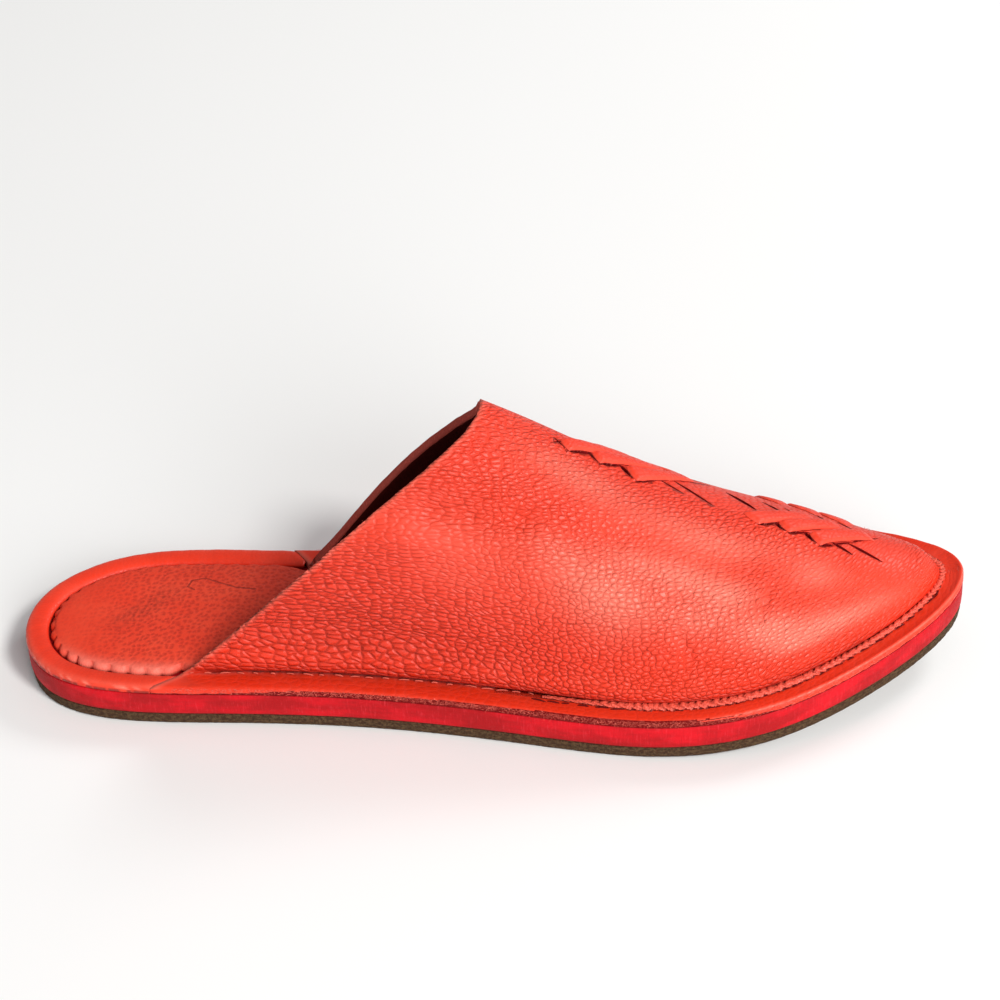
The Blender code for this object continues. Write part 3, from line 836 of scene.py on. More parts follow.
def wall_lines(face):
    """Lines of one face of the wall, from the collar to the toe, with its folds and its bulge."""
    angles = WALL_ANGLES[:, None]
    start = collar_x(angles)
    wall = face.point(start + (face.tip - start) * WALL_STEPS, angles)
    lift = fold_height(OUTER.point(wall[..., 0], angles))
    normal = np.cross(np.gradient(wall, axis=1), np.gradient(wall, axis=0))
    normal /= np.maximum(np.linalg.norm(normal, axis=-1), 1e-12)[..., None]
    if np.mean(normal[COLUMNS // 2, :, 2]) < 0:
        normal = -normal
    share = wall[..., 0] / SOLE_LENGTH
    rise = wall[..., 2] - floor_line(wall[..., 0]) - FLANGE_TOP + face.depth
    from_toe = ease((1 - WALL_STEPS) / 0.05)
    from_ends = ease((share - 0.20) / 0.06) * from_toe
    bulge = bell((rise - 4.2 * MM) / (3.8 * MM)) * ease(rise / (1.5 * MM))
    bulge = bulge * (0.8 + 0.8 * bell((share - 0.62) / 0.15)) * from_ends * MM
    lift = lift * ease(np.sin(angles) / 0.25) * from_toe + bulge
    wall = wall + normal * lift[..., None]
    if face is OUTER:
        # The wall draws in over its seam before it turns out into the flange.
        tuck = bell(rise / (1.1 * MM)) * from_ends * 1.35 * MM
        wall[..., 1] += tuck * np.sign(np.cos(angles))
    return wall


def flange_lines(face, medial):
    """Lines of one face of the flange on one side, from the wall's foot out to the rim."""
    foot = OUTER.medial if medial else OUTER.lateral
    start = float(collar_x(np.array(math.pi if medial else 0.0)))
    turns = np.interp(start + (OUTER.tip - start) * WALL_STEPS, foot[0], TURNS)
    first = math.acos(1 - 2 * (MEDIAL_FLANGE_END if medial else LATERAL_FLANGE_END))
    slant = (turns[0] - first) * np.clip(1 - WALL_STEPS / SLANT_SHARE, 0, 1)
    lines = []
    for across in FLANGE_SHARES:
        angle = turns - slant * across
        angle = 2 * math.pi - angle if medial else angle
        x, y = outline(angle, RIM_WIDTH * (1 - across))
        rise = -face.depth
        if face is OUTER:
            shares = column(FLANGE_SECTION, 0)
            side, toe = (np.interp(across, shares, column(FLANGE_SECTION, k)) for k in (1, 2))
            rise = (side + (toe - side) * toeward(x)) * MM
            rise = rise + waves(arc(angle) / MM, (7.0, 13.0, 29.0), 9) * 0.10 * MM * across
        lines.append(spots(x, y, floor_line(x) + FLANGE_TOP + rise))
    return np.array(lines)


def upper_lines(face):
    """Lines of one face of the upper, from the lateral edge of the flange to the medial one."""
    return np.concatenate([flange_lines(face, False)[::-1], wall_lines(face), flange_lines(face, True)])


def cut_edge(rng, one, two, axis, bulge, rough=0.055):
    """Lines of a cut edge between two faces: roughened, and bulging a little along one axis."""
    lines = []
    for level in EDGE_LEVELS:
        line = one + (two - one) * level + rng.normal(0, rough * MM, one.shape)
        line[:, axis] += bulge * MM * math.sin(math.pi * level)
        lines.append(line)
    return np.array(lines)


def around_ring(values):
    """Values of the outer face's lines, carried over the cut edges and the inner face."""
    edge = len(EDGE_LEVELS)
    return np.concatenate([
        values, np.repeat(values[-1:], edge, 0), values[::-1], np.repeat(values[:1], edge, 0)
    ])


class MULE_OT_upper(bpy.types.Operator):
    """Build the leather upper with its folds, flange and cut edges."""

    bl_idname = "mule.upper"
    bl_label = "Upper"

    def execute(self, context):
        outer, inner = upper_lines(OUTER), upper_lines(INNER)
        lines, edge = len(outer), len(EDGE_LEVELS)
        rng = np.random.RandomState(11)
        medial_edge = cut_edge(rng, outer[-1], inner[-1], 1, 0.12)
        lateral_edge = cut_edge(rng, inner[0], outer[0], 1, -0.12)
        ring = np.concatenate([outer, medial_edge, inner[::-1], lateral_edge])
        points = ring.transpose(1, 0, 2)
        rows, size = points.shape[:2]
        flat = points.reshape(-1, 3)
        faces = grid_faces(rows, size, closed=True).tolist()
        kinds = self.kinds(outer, rows, size)
        # The collar and the flange's slanted ends close the first row, outer face to inner face.
        facing = list(range(2 * lines + edge - 1, lines + edge - 1, -1))
        collar = cut_edge(rng, flat[:lines], flat[facing], 0, -0.10, 0.05)
        fresh = len(flat) + np.arange(edge * lines).reshape(edge, lines)
        chain = [list(range(lines)), *fresh.tolist(), facing]
        for low, high in zip(chain, chain[1:]):
            faces += bridge(high, low)
        kinds += [COLLAR_CUT] * (len(faces) - len(kinds))
        # The ends of the two cut edges meet the new lines.
        lateral = [0, *range(size - 1, size - 1 - edge, -1), chain[-1][0]]
        medial = [lines - 1, *range(lines, lines + edge), chain[-1][-1]]
        faces += bridge([line[0] for line in chain], lateral)
        faces += bridge(medial, [line[-1] for line in chain])
        kinds += [CUT] * (len(faces) - len(kinds))
        flat = np.concatenate([flat, *collar])
        grain, worn, shade_and_cracks = wear_maps(flat)
        worn[:lines] = 0.9
        worn[size:size + lines] = np.maximum(worn[size:size + lines], 0.35)
        finishes = (
            leather_finish("vamp_leather", context.scene.mule_leather.pebble_depth),
            raw_finish("vamp_cut_edge"),
            suede_finish("vamp_flesh_side"),
            raw_finish("collar_cut_edge", 0.75),
        )
        piece = new_piece(
            "upper_leather", flat, faces, self.hide(outer), finishes, kinds,
            {"grain": grain, "worn": worn, "shade_and_cracks": shade_and_cracks},
        )
        cut_slits(piece)
        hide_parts("upper")
        return {"FINISHED"}

    def kinds(self, outer, rows, size):
        """The finish of each face along the ring of lines."""
        lines, edge = len(outer), len(EDGE_LEVELS)
        kinds = np.full((rows - 1, size), CUT)
        kinds[:, :lines - 1] = GRAIN
        kinds[:, lines + edge:2 * lines + edge - 1] = FLESH
        # The leather wraps the cut edge at both ends of it, band by band.
        for line, first, toward, strip in (
            (outer[0], 0.215, -1, size - 1),
            (outer[-1], 0.325, 1, lines - 1),
        ):
            share = line[1:, 0] / SOLE_LENGTH + waves(line[1:, 0] / MM, (5.0, 9.0, 17.0), 21) * 0.012
            for band in range(edge):
                left = edge - band
                wrapped = (share < first + 0.022 * left) | (share > 0.83 - 0.025 * left)
                kinds[wrapped, strip + toward * band] = GRAIN
        # Beside the ball the flange is rubbed raw along its rim.
        x = outer[0][1:, 0]
        share = x / SOLE_LENGTH + waves(x / MM, (3.0, 7.0, 13.0), 22) * 0.015
        for strip, first, last in ((0, 0.46, 0.76), (1, 0.55, 0.72)):
            kinds[(share > first) & (share < last), strip] = CUT
        return kinds.ravel().tolist()

    def hide(self, outer):
        """The place on the hide: along the length, and round the section from the ridge."""
        lines, edge = len(outer), len(EDGE_LEVELS)
        steps = np.linalg.norm(np.diff(outer, axis=0), axis=-1)
        girth = np.concatenate([np.zeros((1, steps.shape[1])), np.cumsum(steps, axis=0)])
        girth -= girth[len(FLANGE_SHARES)]
        across = around_ring(girth)
        edge_steps = np.arange(1, edge + 1)[:, None] * 0.4 * MM
        across[lines:lines + edge] += edge_steps
        across[2 * lines + edge:] -= edge_steps
        # The pebbles are larger at the back, where the hide is stretched both ways.
        stations = np.linspace(0, SOLE_LENGTH, 271)
        larger = 1 - ease((stations / SOLE_LENGTH - 0.36) / 0.28)
        lengths = np.cumsum(np.diff(stations) / (1.0 + 0.65 * larger[1:]))
        saved = 1 - 1 / (1.0 + 0.45 * np.interp(outer[..., 0], stations, larger))
        across = across - around_ring(saved) * np.minimum(across, 24 * MM)
        along = np.interp(outer[..., 0], stations, np.concatenate([[0], lengths]))
        places = spots(around_ring(along), across).transpose(1, 0, 2).reshape(-1, 3)
        collar = [spots(along[:, 0], girth[:, 0], level * 2 * MM) for level in EDGE_LEVELS]
        return np.concatenate([places, *collar])


# Patches of the leather: share of length, degrees, share spread, degree spread, how much
SMOOTH_PATCHES = (
    (0.43, 38, 0.10, 9, 0.55), (0.93, 80, 0.045, 90, 0.85),
    (0.70, 66, 0.10, 9, 0.35), (0.85, 66, 0.06, 22, 0.45),
)
# Painted highlights: paler patches where the folds of the vamp catch the light
HIGHLIGHT_PATCHES = (
    (0.60, 76, 0.05, 7, 0.6), (0.73, 72, 0.07, 7, 0.6), (0.84, 62, 0.03, 9, 0.5),
    (0.63, 40, 0.05, 11, 0.95), (0.48, 40, 0.10, 12, 0.25), (0.65, 55, 0.03, 6, 0.4),
    (0.70, 54, 0.035, 7, 0.8), (0.75, 50, 0.030, 7, 0.9), (0.72, 39, 0.035, 7, 0.6),
    (0.79, 34, 0.035, 8, 1.0), (0.82, 25, 0.030, 7, 1.0), (0.86, 33, 0.030, 8, 0.9),
    (0.90, 38, 0.030, 12, 0.4), (0.58, 48, 0.03, 6, 0.3),
)
# Painted shade: darker patches where the folds turn away from the light
SHADE_PATCHES = ((0.42, 60, 0.09, 22, 0.13), (0.64, 76, 0.08, 9, 0.12), (0.55, 62, 0.06, 7, 0.08))


def wear_maps(points):
    """How deep the pebbles are, and how much wear and painted highlight and how much painted shade the
    leather has, at each point.
    """
    share = points[:, 0] / SOLE_LENGTH
    height = points[:, 2] - floor_line(points[:, 0]) - FLANGE_TOP
    angle = np.degrees(OUTER.angle(points[:, 0], points[:, 1]))

    def patches(table):
        return [
            amount * bell((share - at) / spread, (angle - turn) / wide)
            for at, turn, spread, wide, amount in table
        ]

    grain = 0.15 + 0.85 * ease((height - 0.2 * MM) / (2.5 * MM))
    for patch in patches(SMOOTH_PATCHES):
        grain *= 1 - patch
    # The woven field is smoother than the leather round it. It narrows towards the toe.
    across = points[:, 1] / MM
    narrowing = 30 * np.clip(share - 0.70, 0, None)
    field = ease((share - 0.575) / 0.02) * ease((0.925 - share) / 0.02)
    field *= ease((across + 1 + narrowing) / 2.0) * ease((23 - narrowing - across) / 2.0)
    grain *= 1 - 0.55 * field
    # The grain is pressed flat along the collar's cut.
    from_collar = points[:, 0] - collar_x(np.radians(angle))
    grain *= 0.25 + 0.75 * ease(from_collar / (1.6 * MM))
    deep = bell((share - 0.38) / 0.20, (angle - 12) / 18)
    grain = np.clip(grain * (1 + 0.55 * deep), 0, 1.6)
    # Painted highlights: paler patches where the folds catch the light.
    worn = sum(patches(HIGHLIGHT_PATCHES))
    rim = spots(*outline(np.linspace(0, 2 * math.pi, 900)))[:, :2]
    low = np.flatnonzero((height < 6.0 * MM) & (height > -0.6 * MM))
    rise = height[low]
    away = np.array([np.min(np.hypot(*(rim - points[k, :2]).T)) for k in low])
    # Painted highlight: a thin pale line along the flange's rounded rim towards the toe.
    shine = bell((away - 0.14 * MM) / (0.24 * MM), (rise - 0.05 * MM) / (0.35 * MM))
    worn[low] = np.maximum(worn[low], shine * 1.1 * ease((share[low] - 0.66) / 0.12))
    # Painted shade lies in the seam at the wall's foot, under its overhang.
    on_wall = ease((rise - 0.25 * MM) / (0.3 * MM))
    seam = np.maximum(on_wall, ease((away - RIM_WIDTH + 1.0 * MM) / (0.8 * MM)))
    seam *= 0.80 * bell(rise / (1.8 * MM)) + 0.50 * bell(rise / (4.2 * MM))
    seam *= ease((share[low] - 0.17) / 0.05) * (0.75 + 0.25 * ease((share[low] - 0.48) / 0.10))
    seam *= 0.75 + 0.25 * waves(points[low, 0] / MM, (6.0, 11.0, 23.0), 14)
    # Painted shade: darker over the lower rear wall and in the shade patches.
    shade_and_cracks = 0.26 * deep * (angle < 90) + sum(patches(SHADE_PATCHES))
    shade_and_cracks[low] += seam * ease((0.97 - share[low]) / 0.1)
    return grain, np.clip(worn, 0, 1), np.clip(shade_and_cracks, 0, 1)


def cut_slits(piece):
    """Cuts the slits between the level strips through the wall."""
    # share of the slit's length, share of its width
    shape = ((0.0, 0.10), (0.12, 0.6), (0.35, 1.0), (0.65, 0.9), (0.88, 0.5), (1.0, 0.08))
    rng = np.random.RandomState(5)
    cutters = bpy.data.collections.new("slit_cutters")
    bpy.context.scene.collection.children.link(cutters)
    for x0, y0, x1, y1, width in SLITS:
        start = np.array([x0, y0]) * MM
        along = np.array([x1 - x0, y1 - y0]) * MM
        side = np.array([-along[1], along[0]]) / np.linalg.norm(along)
        ring = []
        for direction in (1, -1):
            for at, half in shape[::direction]:
                reach = direction * half * rng.uniform(0.85, 1.15) * width * MM / 2
                ring.append(start + along * at + side * reach)
        ring = np.array(ring)
        # The cutter reaches from 6 mm below the leather's face to 3 mm above it.
        points = [over(ring[:, 0], ring[:, 1]) + (0.0, 0.0, reach * MM) for reach in (-6, 3)]
        count = len(ring)
        faces = grid_faces(2, count, closed=True).tolist()
        faces += [list(range(count)), list(range(count, 2 * count))[::-1]]
        mesh = bpy.data.meshes.new("slit_cutter")
        mesh.from_pydata((np.concatenate(points) - PLAN_CENTRE).tolist(), [], faces)
        mesh.materials.append(piece.data.materials[CUT])
        mend(mesh)
        cutters.objects.link(bpy.data.objects.new("slit_cutter", mesh))
    cut = piece.modifiers.new("slits", "BOOLEAN")
    cut.operation = "DIFFERENCE"
    cut.operand_type = "COLLECTION"
    cut.collection = cutters
    cut.material_mode = "TRANSFER"
    graph = bpy.context.evaluated_depsgraph_get()
    result = bpy.data.meshes.new_from_object(piece.evaluated_get(graph))
    if len(result.polygons) < 0.9 * len(piece.data.polygons):
        raise RuntimeError("the slits could not be cut")
    piece.modifiers.clear()
    old = piece.data
    piece.data = result
    bpy.data.meshes.remove(old)
    for cutter in list(cutters.objects):
        mesh = cutter.data
        bpy.data.objects.remove(cutter)
        bpy.data.meshes.remove(mesh)
    bpy.data.collections.remove(cutters)


class MULE_OT_weave(bpy.types.Operator):
    """Lay the raised ends of the woven strips on the vamp."""

    bl_idname = "mule.weave"
    bl_label = "Woven strips"

    def execute(self, context):
        finish = leather_finish("strip_leather", context.scene.mule_leather.pebble_depth * 0.6, 0.8)
        flesh = raw_finish("strip_cut_edge")
        steps, columns = 64, 26
        edge_round = 0.95
        share = np.linspace(0, 1, steps + 1)
        grid_u, grid_v = np.meshgrid(share, np.linspace(0, 1, columns + 1), indexing="ij")
        for number, (side, tip_x, tip_y, x, y, turn, bend, reach) in enumerate(STRIPS, 1):
            angle = np.radians(turn + bend * (0.5 - share))
            step = reach / steps
            front = np.stack([np.cos(angle), -side * np.sin(angle)], -1)
            square = np.stack([-np.sin(angle), -side * np.cos(angle)], -1) * STRIP_WIDTH
            front = np.array([x, y]) + np.concatenate([[[0.0, 0.0]], np.cumsum(front[:-1] * step, axis=0)])
            end = np.array([tip_x - x, tip_y - y])
            widen = ease(share * reach / 5.0)[:, None]
            back = end * (1 - widen) + square * widen
            place = front[:, None, :] + grid_v[..., None] * back[:, None, :]
            bow = np.sin(math.pi * grid_v) ** 0.8 * 0.55 * (1 - ease(grid_u * reach / 3.0))
            place[..., 0] -= bow * math.cos(math.radians(turn))
            place[..., 1] += side * bow * math.sin(math.radians(turn))
            place[..., 1] += waves(grid_u * reach + 3 * grid_v, (5.0, 8.5), 30 + number) * 0.16
            place[..., 0] += waves(grid_u * reach, (3.1, 6.7), 60 + number) * 0.12
            rim_v = np.minimum(grid_v, 1 - grid_v) * STRIP_WIDTH / edge_round
            rim_u = grid_u * reach / edge_round
            far = ease((1 - grid_u) * reach / 5.0)
            rim = np.clip(np.minimum(rim_v, rim_u), 0, 1)
            crown = np.sqrt(1 - (1 - rim) ** 2)
            sag = 0.35 * np.sin(math.pi * np.clip(grid_u * 1.15, 0, 1))
            lift = 1.02 - 0.25 * grid_u + sag * np.sin(math.pi * grid_v) ** 0.7
            lift = (lift * far - 0.5 * (1 - far)) * ease(0.35 + grid_u * reach / 2.2)
            if side > 0:
                # The medial ends lie flatter.
                lift = lift * 0.62
            rise = lift * (0.25 + 0.75 * crown) * MM
            top = over(place[..., 0] * MM, place[..., 1] * MM, rise)
            base = over(place[..., 0] * MM, place[..., 1] * MM, np.full(rise.shape, -0.9 * MM))
            points = np.concatenate([top.reshape(-1, 3), base.reshape(-1, 3)])
            size = columns + 1
            count = (steps + 1) * size
            faces = grid_faces(steps + 1, size).tolist()
            faces += grid_faces(steps + 1, size, count, flip=True).tolist()
            numbers = np.arange(count).reshape(steps + 1, size)
            edge = [*numbers[0], *numbers[1:, -1], *numbers[-1, -2::-1], *numbers[-2:0:-1, 0]]
            ahead = edge[1:] + edge[:1]
            walls = [[one, two, two + count, one + count] for one, two in zip(edge, ahead)]
            kinds = [GRAIN] * len(faces) + [CUT] * len(walls)
            hide = spots(grid_u * reach + x, grid_v * STRIP_WIDTH + y * 3).reshape(-1, 3) * MM
            # Painted highlight along the rounded edges of each strip's end.
            worn = np.concatenate([(1 - rim).ravel() * 0.25, np.zeros(count)])
            new_piece(
                f"woven_strip_{number:02d}", points, faces + walls,
                np.concatenate([hide, hide]), (finish, flesh), kinds,
                {"grain": np.full(len(points), 0.30), "worn": worn},
            )
        return {"FINISHED"}


class MULE_OT_seam(bpy.types.Operator):
    """Lay the puckered lip round the toe and the stitches along the foot of the upper."""

    bl_idname = "mule.seam"
    bl_label = "Lip and stitches"

    def execute(self, context):
        look = context.scene.mule_stitching
        start = arc(OUTER.foot_turn(0.56))
        end = arc(OUTER.foot_turn(0.56, medial=True))
        lengths = np.arange(start, end, 0.22 * MM)
        turns = turn_at(lengths)
        share = (lengths - start) / (end - start)
        fade = ease(share / 0.12) * ease((1 - share) / 0.12)
        nose = bell((share - 0.5) / 0.22)
        radius = look.lip * (0.30 + 0.70 * fade) * (1 - 0.35 * nose)
        sides = 20
        rng = np.random.RandomState(33)
        creases = [
            (rng.uniform(1.7, 4.8), rng.uniform(0.6, 1.5), rng.uniform(0, 2 * math.pi)) for _ in range(11)
        ]
        lines = []
        places = []
        shade_and_cracks = []
        for angle in 2 * math.pi * np.arange(sides) / sides:
            slant = lengths / MM + 1.5 * math.sin(angle) + waves(lengths / MM, (17.0, 31.0), 3) * 2.4
            pucker = np.abs(np.sin(math.pi * slant / (look.pitch / MM))) ** 0.6
            wrinkle = sum(
                np.sin(2 * math.pi * (lengths / MM + lean * 2.2 * math.sin(angle)) / pitch + phase) ** 3
                for pitch, lean, phase in creases
            ) / len(creases)
            girth = radius * (0.80 + 0.20 * pucker + 1.35 * np.clip(wrinkle, -0.35, 0.30))
            x, y = outline(turns, RIM_WIDTH - 0.55 * MM - girth * 1.30 * math.cos(angle))
            rise = FLANGE_TOP + 0.30 * MM + girth * 0.80 * math.sin(angle)
            # Painted shade: the lip's underside and the troughs of its wrinkles are darker.
            below = min(max(0.35 - math.sin(angle), 0.0), 0.9)
            lines.append(spots(x, y, floor_line(x) + rise))
            places.append(spots(lengths, angle * look.lip))
            shade_and_cracks.append(np.clip(np.clip(-wrinkle * 1.6, 0, 0.45) + below, 0, 1))
        points, faces, hide = ring_body(lines, places)
        new_piece(
            "puckered_lip", points, faces, hide, (leather_finish("lip_leather", 0.16 * MM, 0.6),),
            maps={
                "grain": np.full(len(points), 0.8),
                "worn": np.full(len(points), 0.55),
                "shade_and_cracks": np.transpose(shade_and_cracks).ravel(),
            },
        )
        self.stitches(look)
        return {"FINISHED"}

    def stitches(self, look):
        """The threads in the groove, and the stitches under the lip in a dark colour that paints their
        shade.
        """
        rng = np.random.RandomState(8)
        thread = thread_finish("seam_thread", look.thread)
        # Painted shade: the stitches under the lip are a dark copy of the thread.
        shaded_thread = thread_finish("shaded_stitches", look.shaded_thread)
        groups = (
            # name, from share, to share, medial, inset, rise, girth, length share, finish
            ("groove_stitches_lateral", 0.19, 0.60, False, 0.10, 0.25, 0.85, 1.0, thread),
            ("groove_stitches_medial", 0.305, 0.60, True, 0.10, 0.25, 0.85, 1.0, thread),
            ("lip_shaded_stitches_lateral", 0.55, 0.972, False, -1.85, 0.02, 0.85, 1.4, shaded_thread),
            ("lip_shaded_stitches_medial", 0.55, 0.972, True, -1.85, 0.02, 0.85, 1.4, shaded_thread),
        )
        for name, first, last, medial, inset, rise, girth, length, finish in groups:
            ends = sorted((arc(OUTER.foot_turn(first, medial)), arc(OUTER.foot_turn(last, medial))))
            paths = []
            radii = []
            at = ends[0]
            while at < ends[1] - look.length:
                reach = look.length * length * rng.uniform(0.45, 1.15)
                spread = np.linspace(0, 1, 8)
                turns = turn_at(at + spread * reach)
                lean = rng.uniform(-0.7, 0.7) * (spread - 0.5) + rng.uniform(-0.15, 0.15)
                x, y = outline(turns, RIM_WIDTH + (inset + lean) * MM)
                arch = np.sin(math.pi * spread) * 0.22 * girth - 0.1
                z = floor_line(x) + FLANGE_TOP + (rise + arch + rng.uniform(-0.06, 0.06)) * MM
                paths.append(spots(x, y, z))
                radii.append(look.girth / 2 * girth * rng.uniform(0.8, 1.15))
                at += look.pitch * rng.uniform(0.9, 1.08)
            points, faces, hide = tubes(paths, radii)
            new_piece(name, points, faces, hide, (finish,))


class MULE_OT_fibres(bpy.types.Operator):
    """Raise loose fibres along the cut edges of the leather."""

    bl_idname = "mule.fibres"
    bl_label = "Fibres"

    def execute(self, context):
        look = context.scene.mule_leather
        rng = np.random.RandomState(17)
        points = []
        faces = []
        hide = []

        def fibre(root, out, length, width):
            """A bent strip of three faces that narrows to its end."""
            side = np.cross(out, rng.normal(size=3))
            side /= np.linalg.norm(side)
            bend = rng.normal(size=3) * 0.35
            base = len(points)
            for k in range(4):
                t = k / 3
                spine = root + (out * t + bend * t * t) * length
                half = side * width * (1 - 0.8 * t) / 2
                points.extend((spine - half, spine + half))
                hide.extend(((root[0], t * length, 0), (root[0], t * length, 0)))
            faces.extend([k, k + 1, k + 3, k + 2] for k in range(base, base + 6, 2))

        for medial, first in ((False, 0.17), (True, 0.30)):
            ends = sorted((arc(OUTER.foot_turn(first, medial)), arc(OUTER.foot_turn(0.90, medial))))
            for _ in range(FLANGE_FIBRES):
                turn = turn_at(rng.uniform(*ends))
                x, y = outline(turn, -0.17 * MM)
                # Outward from the rim: one millimetre further out
                x1, y1 = outline(turn, -1.17 * MM)
                out = np.array([(x1 - x) / MM, (y1 - y) / MM, 0.0])
                along = np.array([-out[1], out[0], 0.0])
                out = out * 0.45 + along * rng.normal(0, 0.8) + np.array([0.0, 0.0, rng.normal(0, 0.6)])
                level = rng.uniform(0.1, 1.0) ** 0.6
                z = floor_line(x) + LEATHER_BASE + LEATHER_THICKNESS * level
                length = rng.uniform(0.2, 0.75) * MM
                fibre(np.array([x, y, z]), out, length, 0.11 * MM)
        for _ in range(COLLAR_FIBRES):
            angle = rng.uniform(0.02, math.pi - 0.02)
            x = collar_x(np.array(angle))
            level = rng.uniform(0, 1)
            skin, flesh = (face.point(x, np.array(angle)) for face in (OUTER, INNER))
            root = skin + (flesh - skin) * level
            root[2] += fold_height(skin)
            out = np.array([-0.8, rng.normal(0, 0.4), rng.normal(0.2, 0.4)])
            fibre(root, out, rng.uniform(0.15, 0.5) * MM, 0.06 * MM)
        pale = thread_finish("leather_fibres", look.fibre)
        new_piece("cut_edge_fibres", points, faces, hide, (pale,))
        return {"FINISHED"}


# How far the places of flat layers are shifted across the hide, in millimetres
HIDE_SHIFT = 500.0


def layered(name, stations, columns, rings, finish, swell=None, maps=None, in_plan=False):
    """A closed layer: rings of (inset, height) round the outline, a flat base and a crowned top."""
    half = np.linspace(0, math.pi, stations + 1)
    turns = np.concatenate([half, 2 * math.pi - half[-2:0:-1]])
    size = len(turns)
    points = []
    hide = []
    for inset, height in rings:
        x, y = outline(turns, inset(turns))
        rise = height(turns)
        points.append(spots(x, y, floor_line(x) + rise))
        hide.append(spots(x, y + HIDE_SHIFT * MM) if in_plan else spots(arc(turns), float(np.mean(rise))))
    faces = grid_faces(len(rings), size, closed=True).tolist()
    count = len(rings) * size
    for base, ring, crown in ((0, points[0], None), (count - size, points[-1], swell)):
        rows = []
        for k in range(stations + 1):
            near, far = base + k, base + (size - k) % size
            if near == far:
                rows.append([near] * (columns + 1))
                continue
            share = np.linspace(0, 1, columns + 1)[1:-1]
            start, end = ring[k], ring[(size - k) % size]
            line = start + (end - start) * share[:, None]
            if crown is not None:
                line[:, 2] += crown(line[:, 0], share, k / stations)
            rows.append([near, *range(count, count + columns - 1), far])
            count += columns - 1
            points.append(line)
            hide.append(spots(line[:, 0], line[:, 1] + HIDE_SHIFT * MM))
        for one, two in zip(rows, rows[1:]):
            faces += bridge(one, two)
    points = np.concatenate(points)
    return new_piece(
        name, points, faces, np.concatenate(hide), (finish,), maps=maps(points) if maps else None
    )


INSOLE_CREASES = (
    # from x, y; to x, y, in millimetres
    (46.2, 16.6, 50.1, 17.6), (50.1, 17.6, 54.9, 15.0), (54.9, 15.0, 59.7, 12.6), (59.7, 12.6, 65.6, 11.4),
    (46.2, 16.6, 45.4, 13.6), (45.4, 13.6, 47.4, 12.0),
)


def insole_inset(turns):
    """Clear of the heel strip behind the wings, and of the wall ahead of them."""
    medial = np.mod(turns, 2 * math.pi) > math.pi
    share = (1 - np.cos(turns)) / 2
    foot = np.where(medial, COLLAR[-1][1], COLLAR[0][1])
    beside_wall = ease((share - foot + 0.026) / 0.022)
    under_nose = ease((share - NOSE_START + 0.03) / 0.04)
    return RIM_WIDTH + SEAT_GAP + LEATHER_THICKNESS * beside_wall + INSOLE_TOE_EASE * under_nose


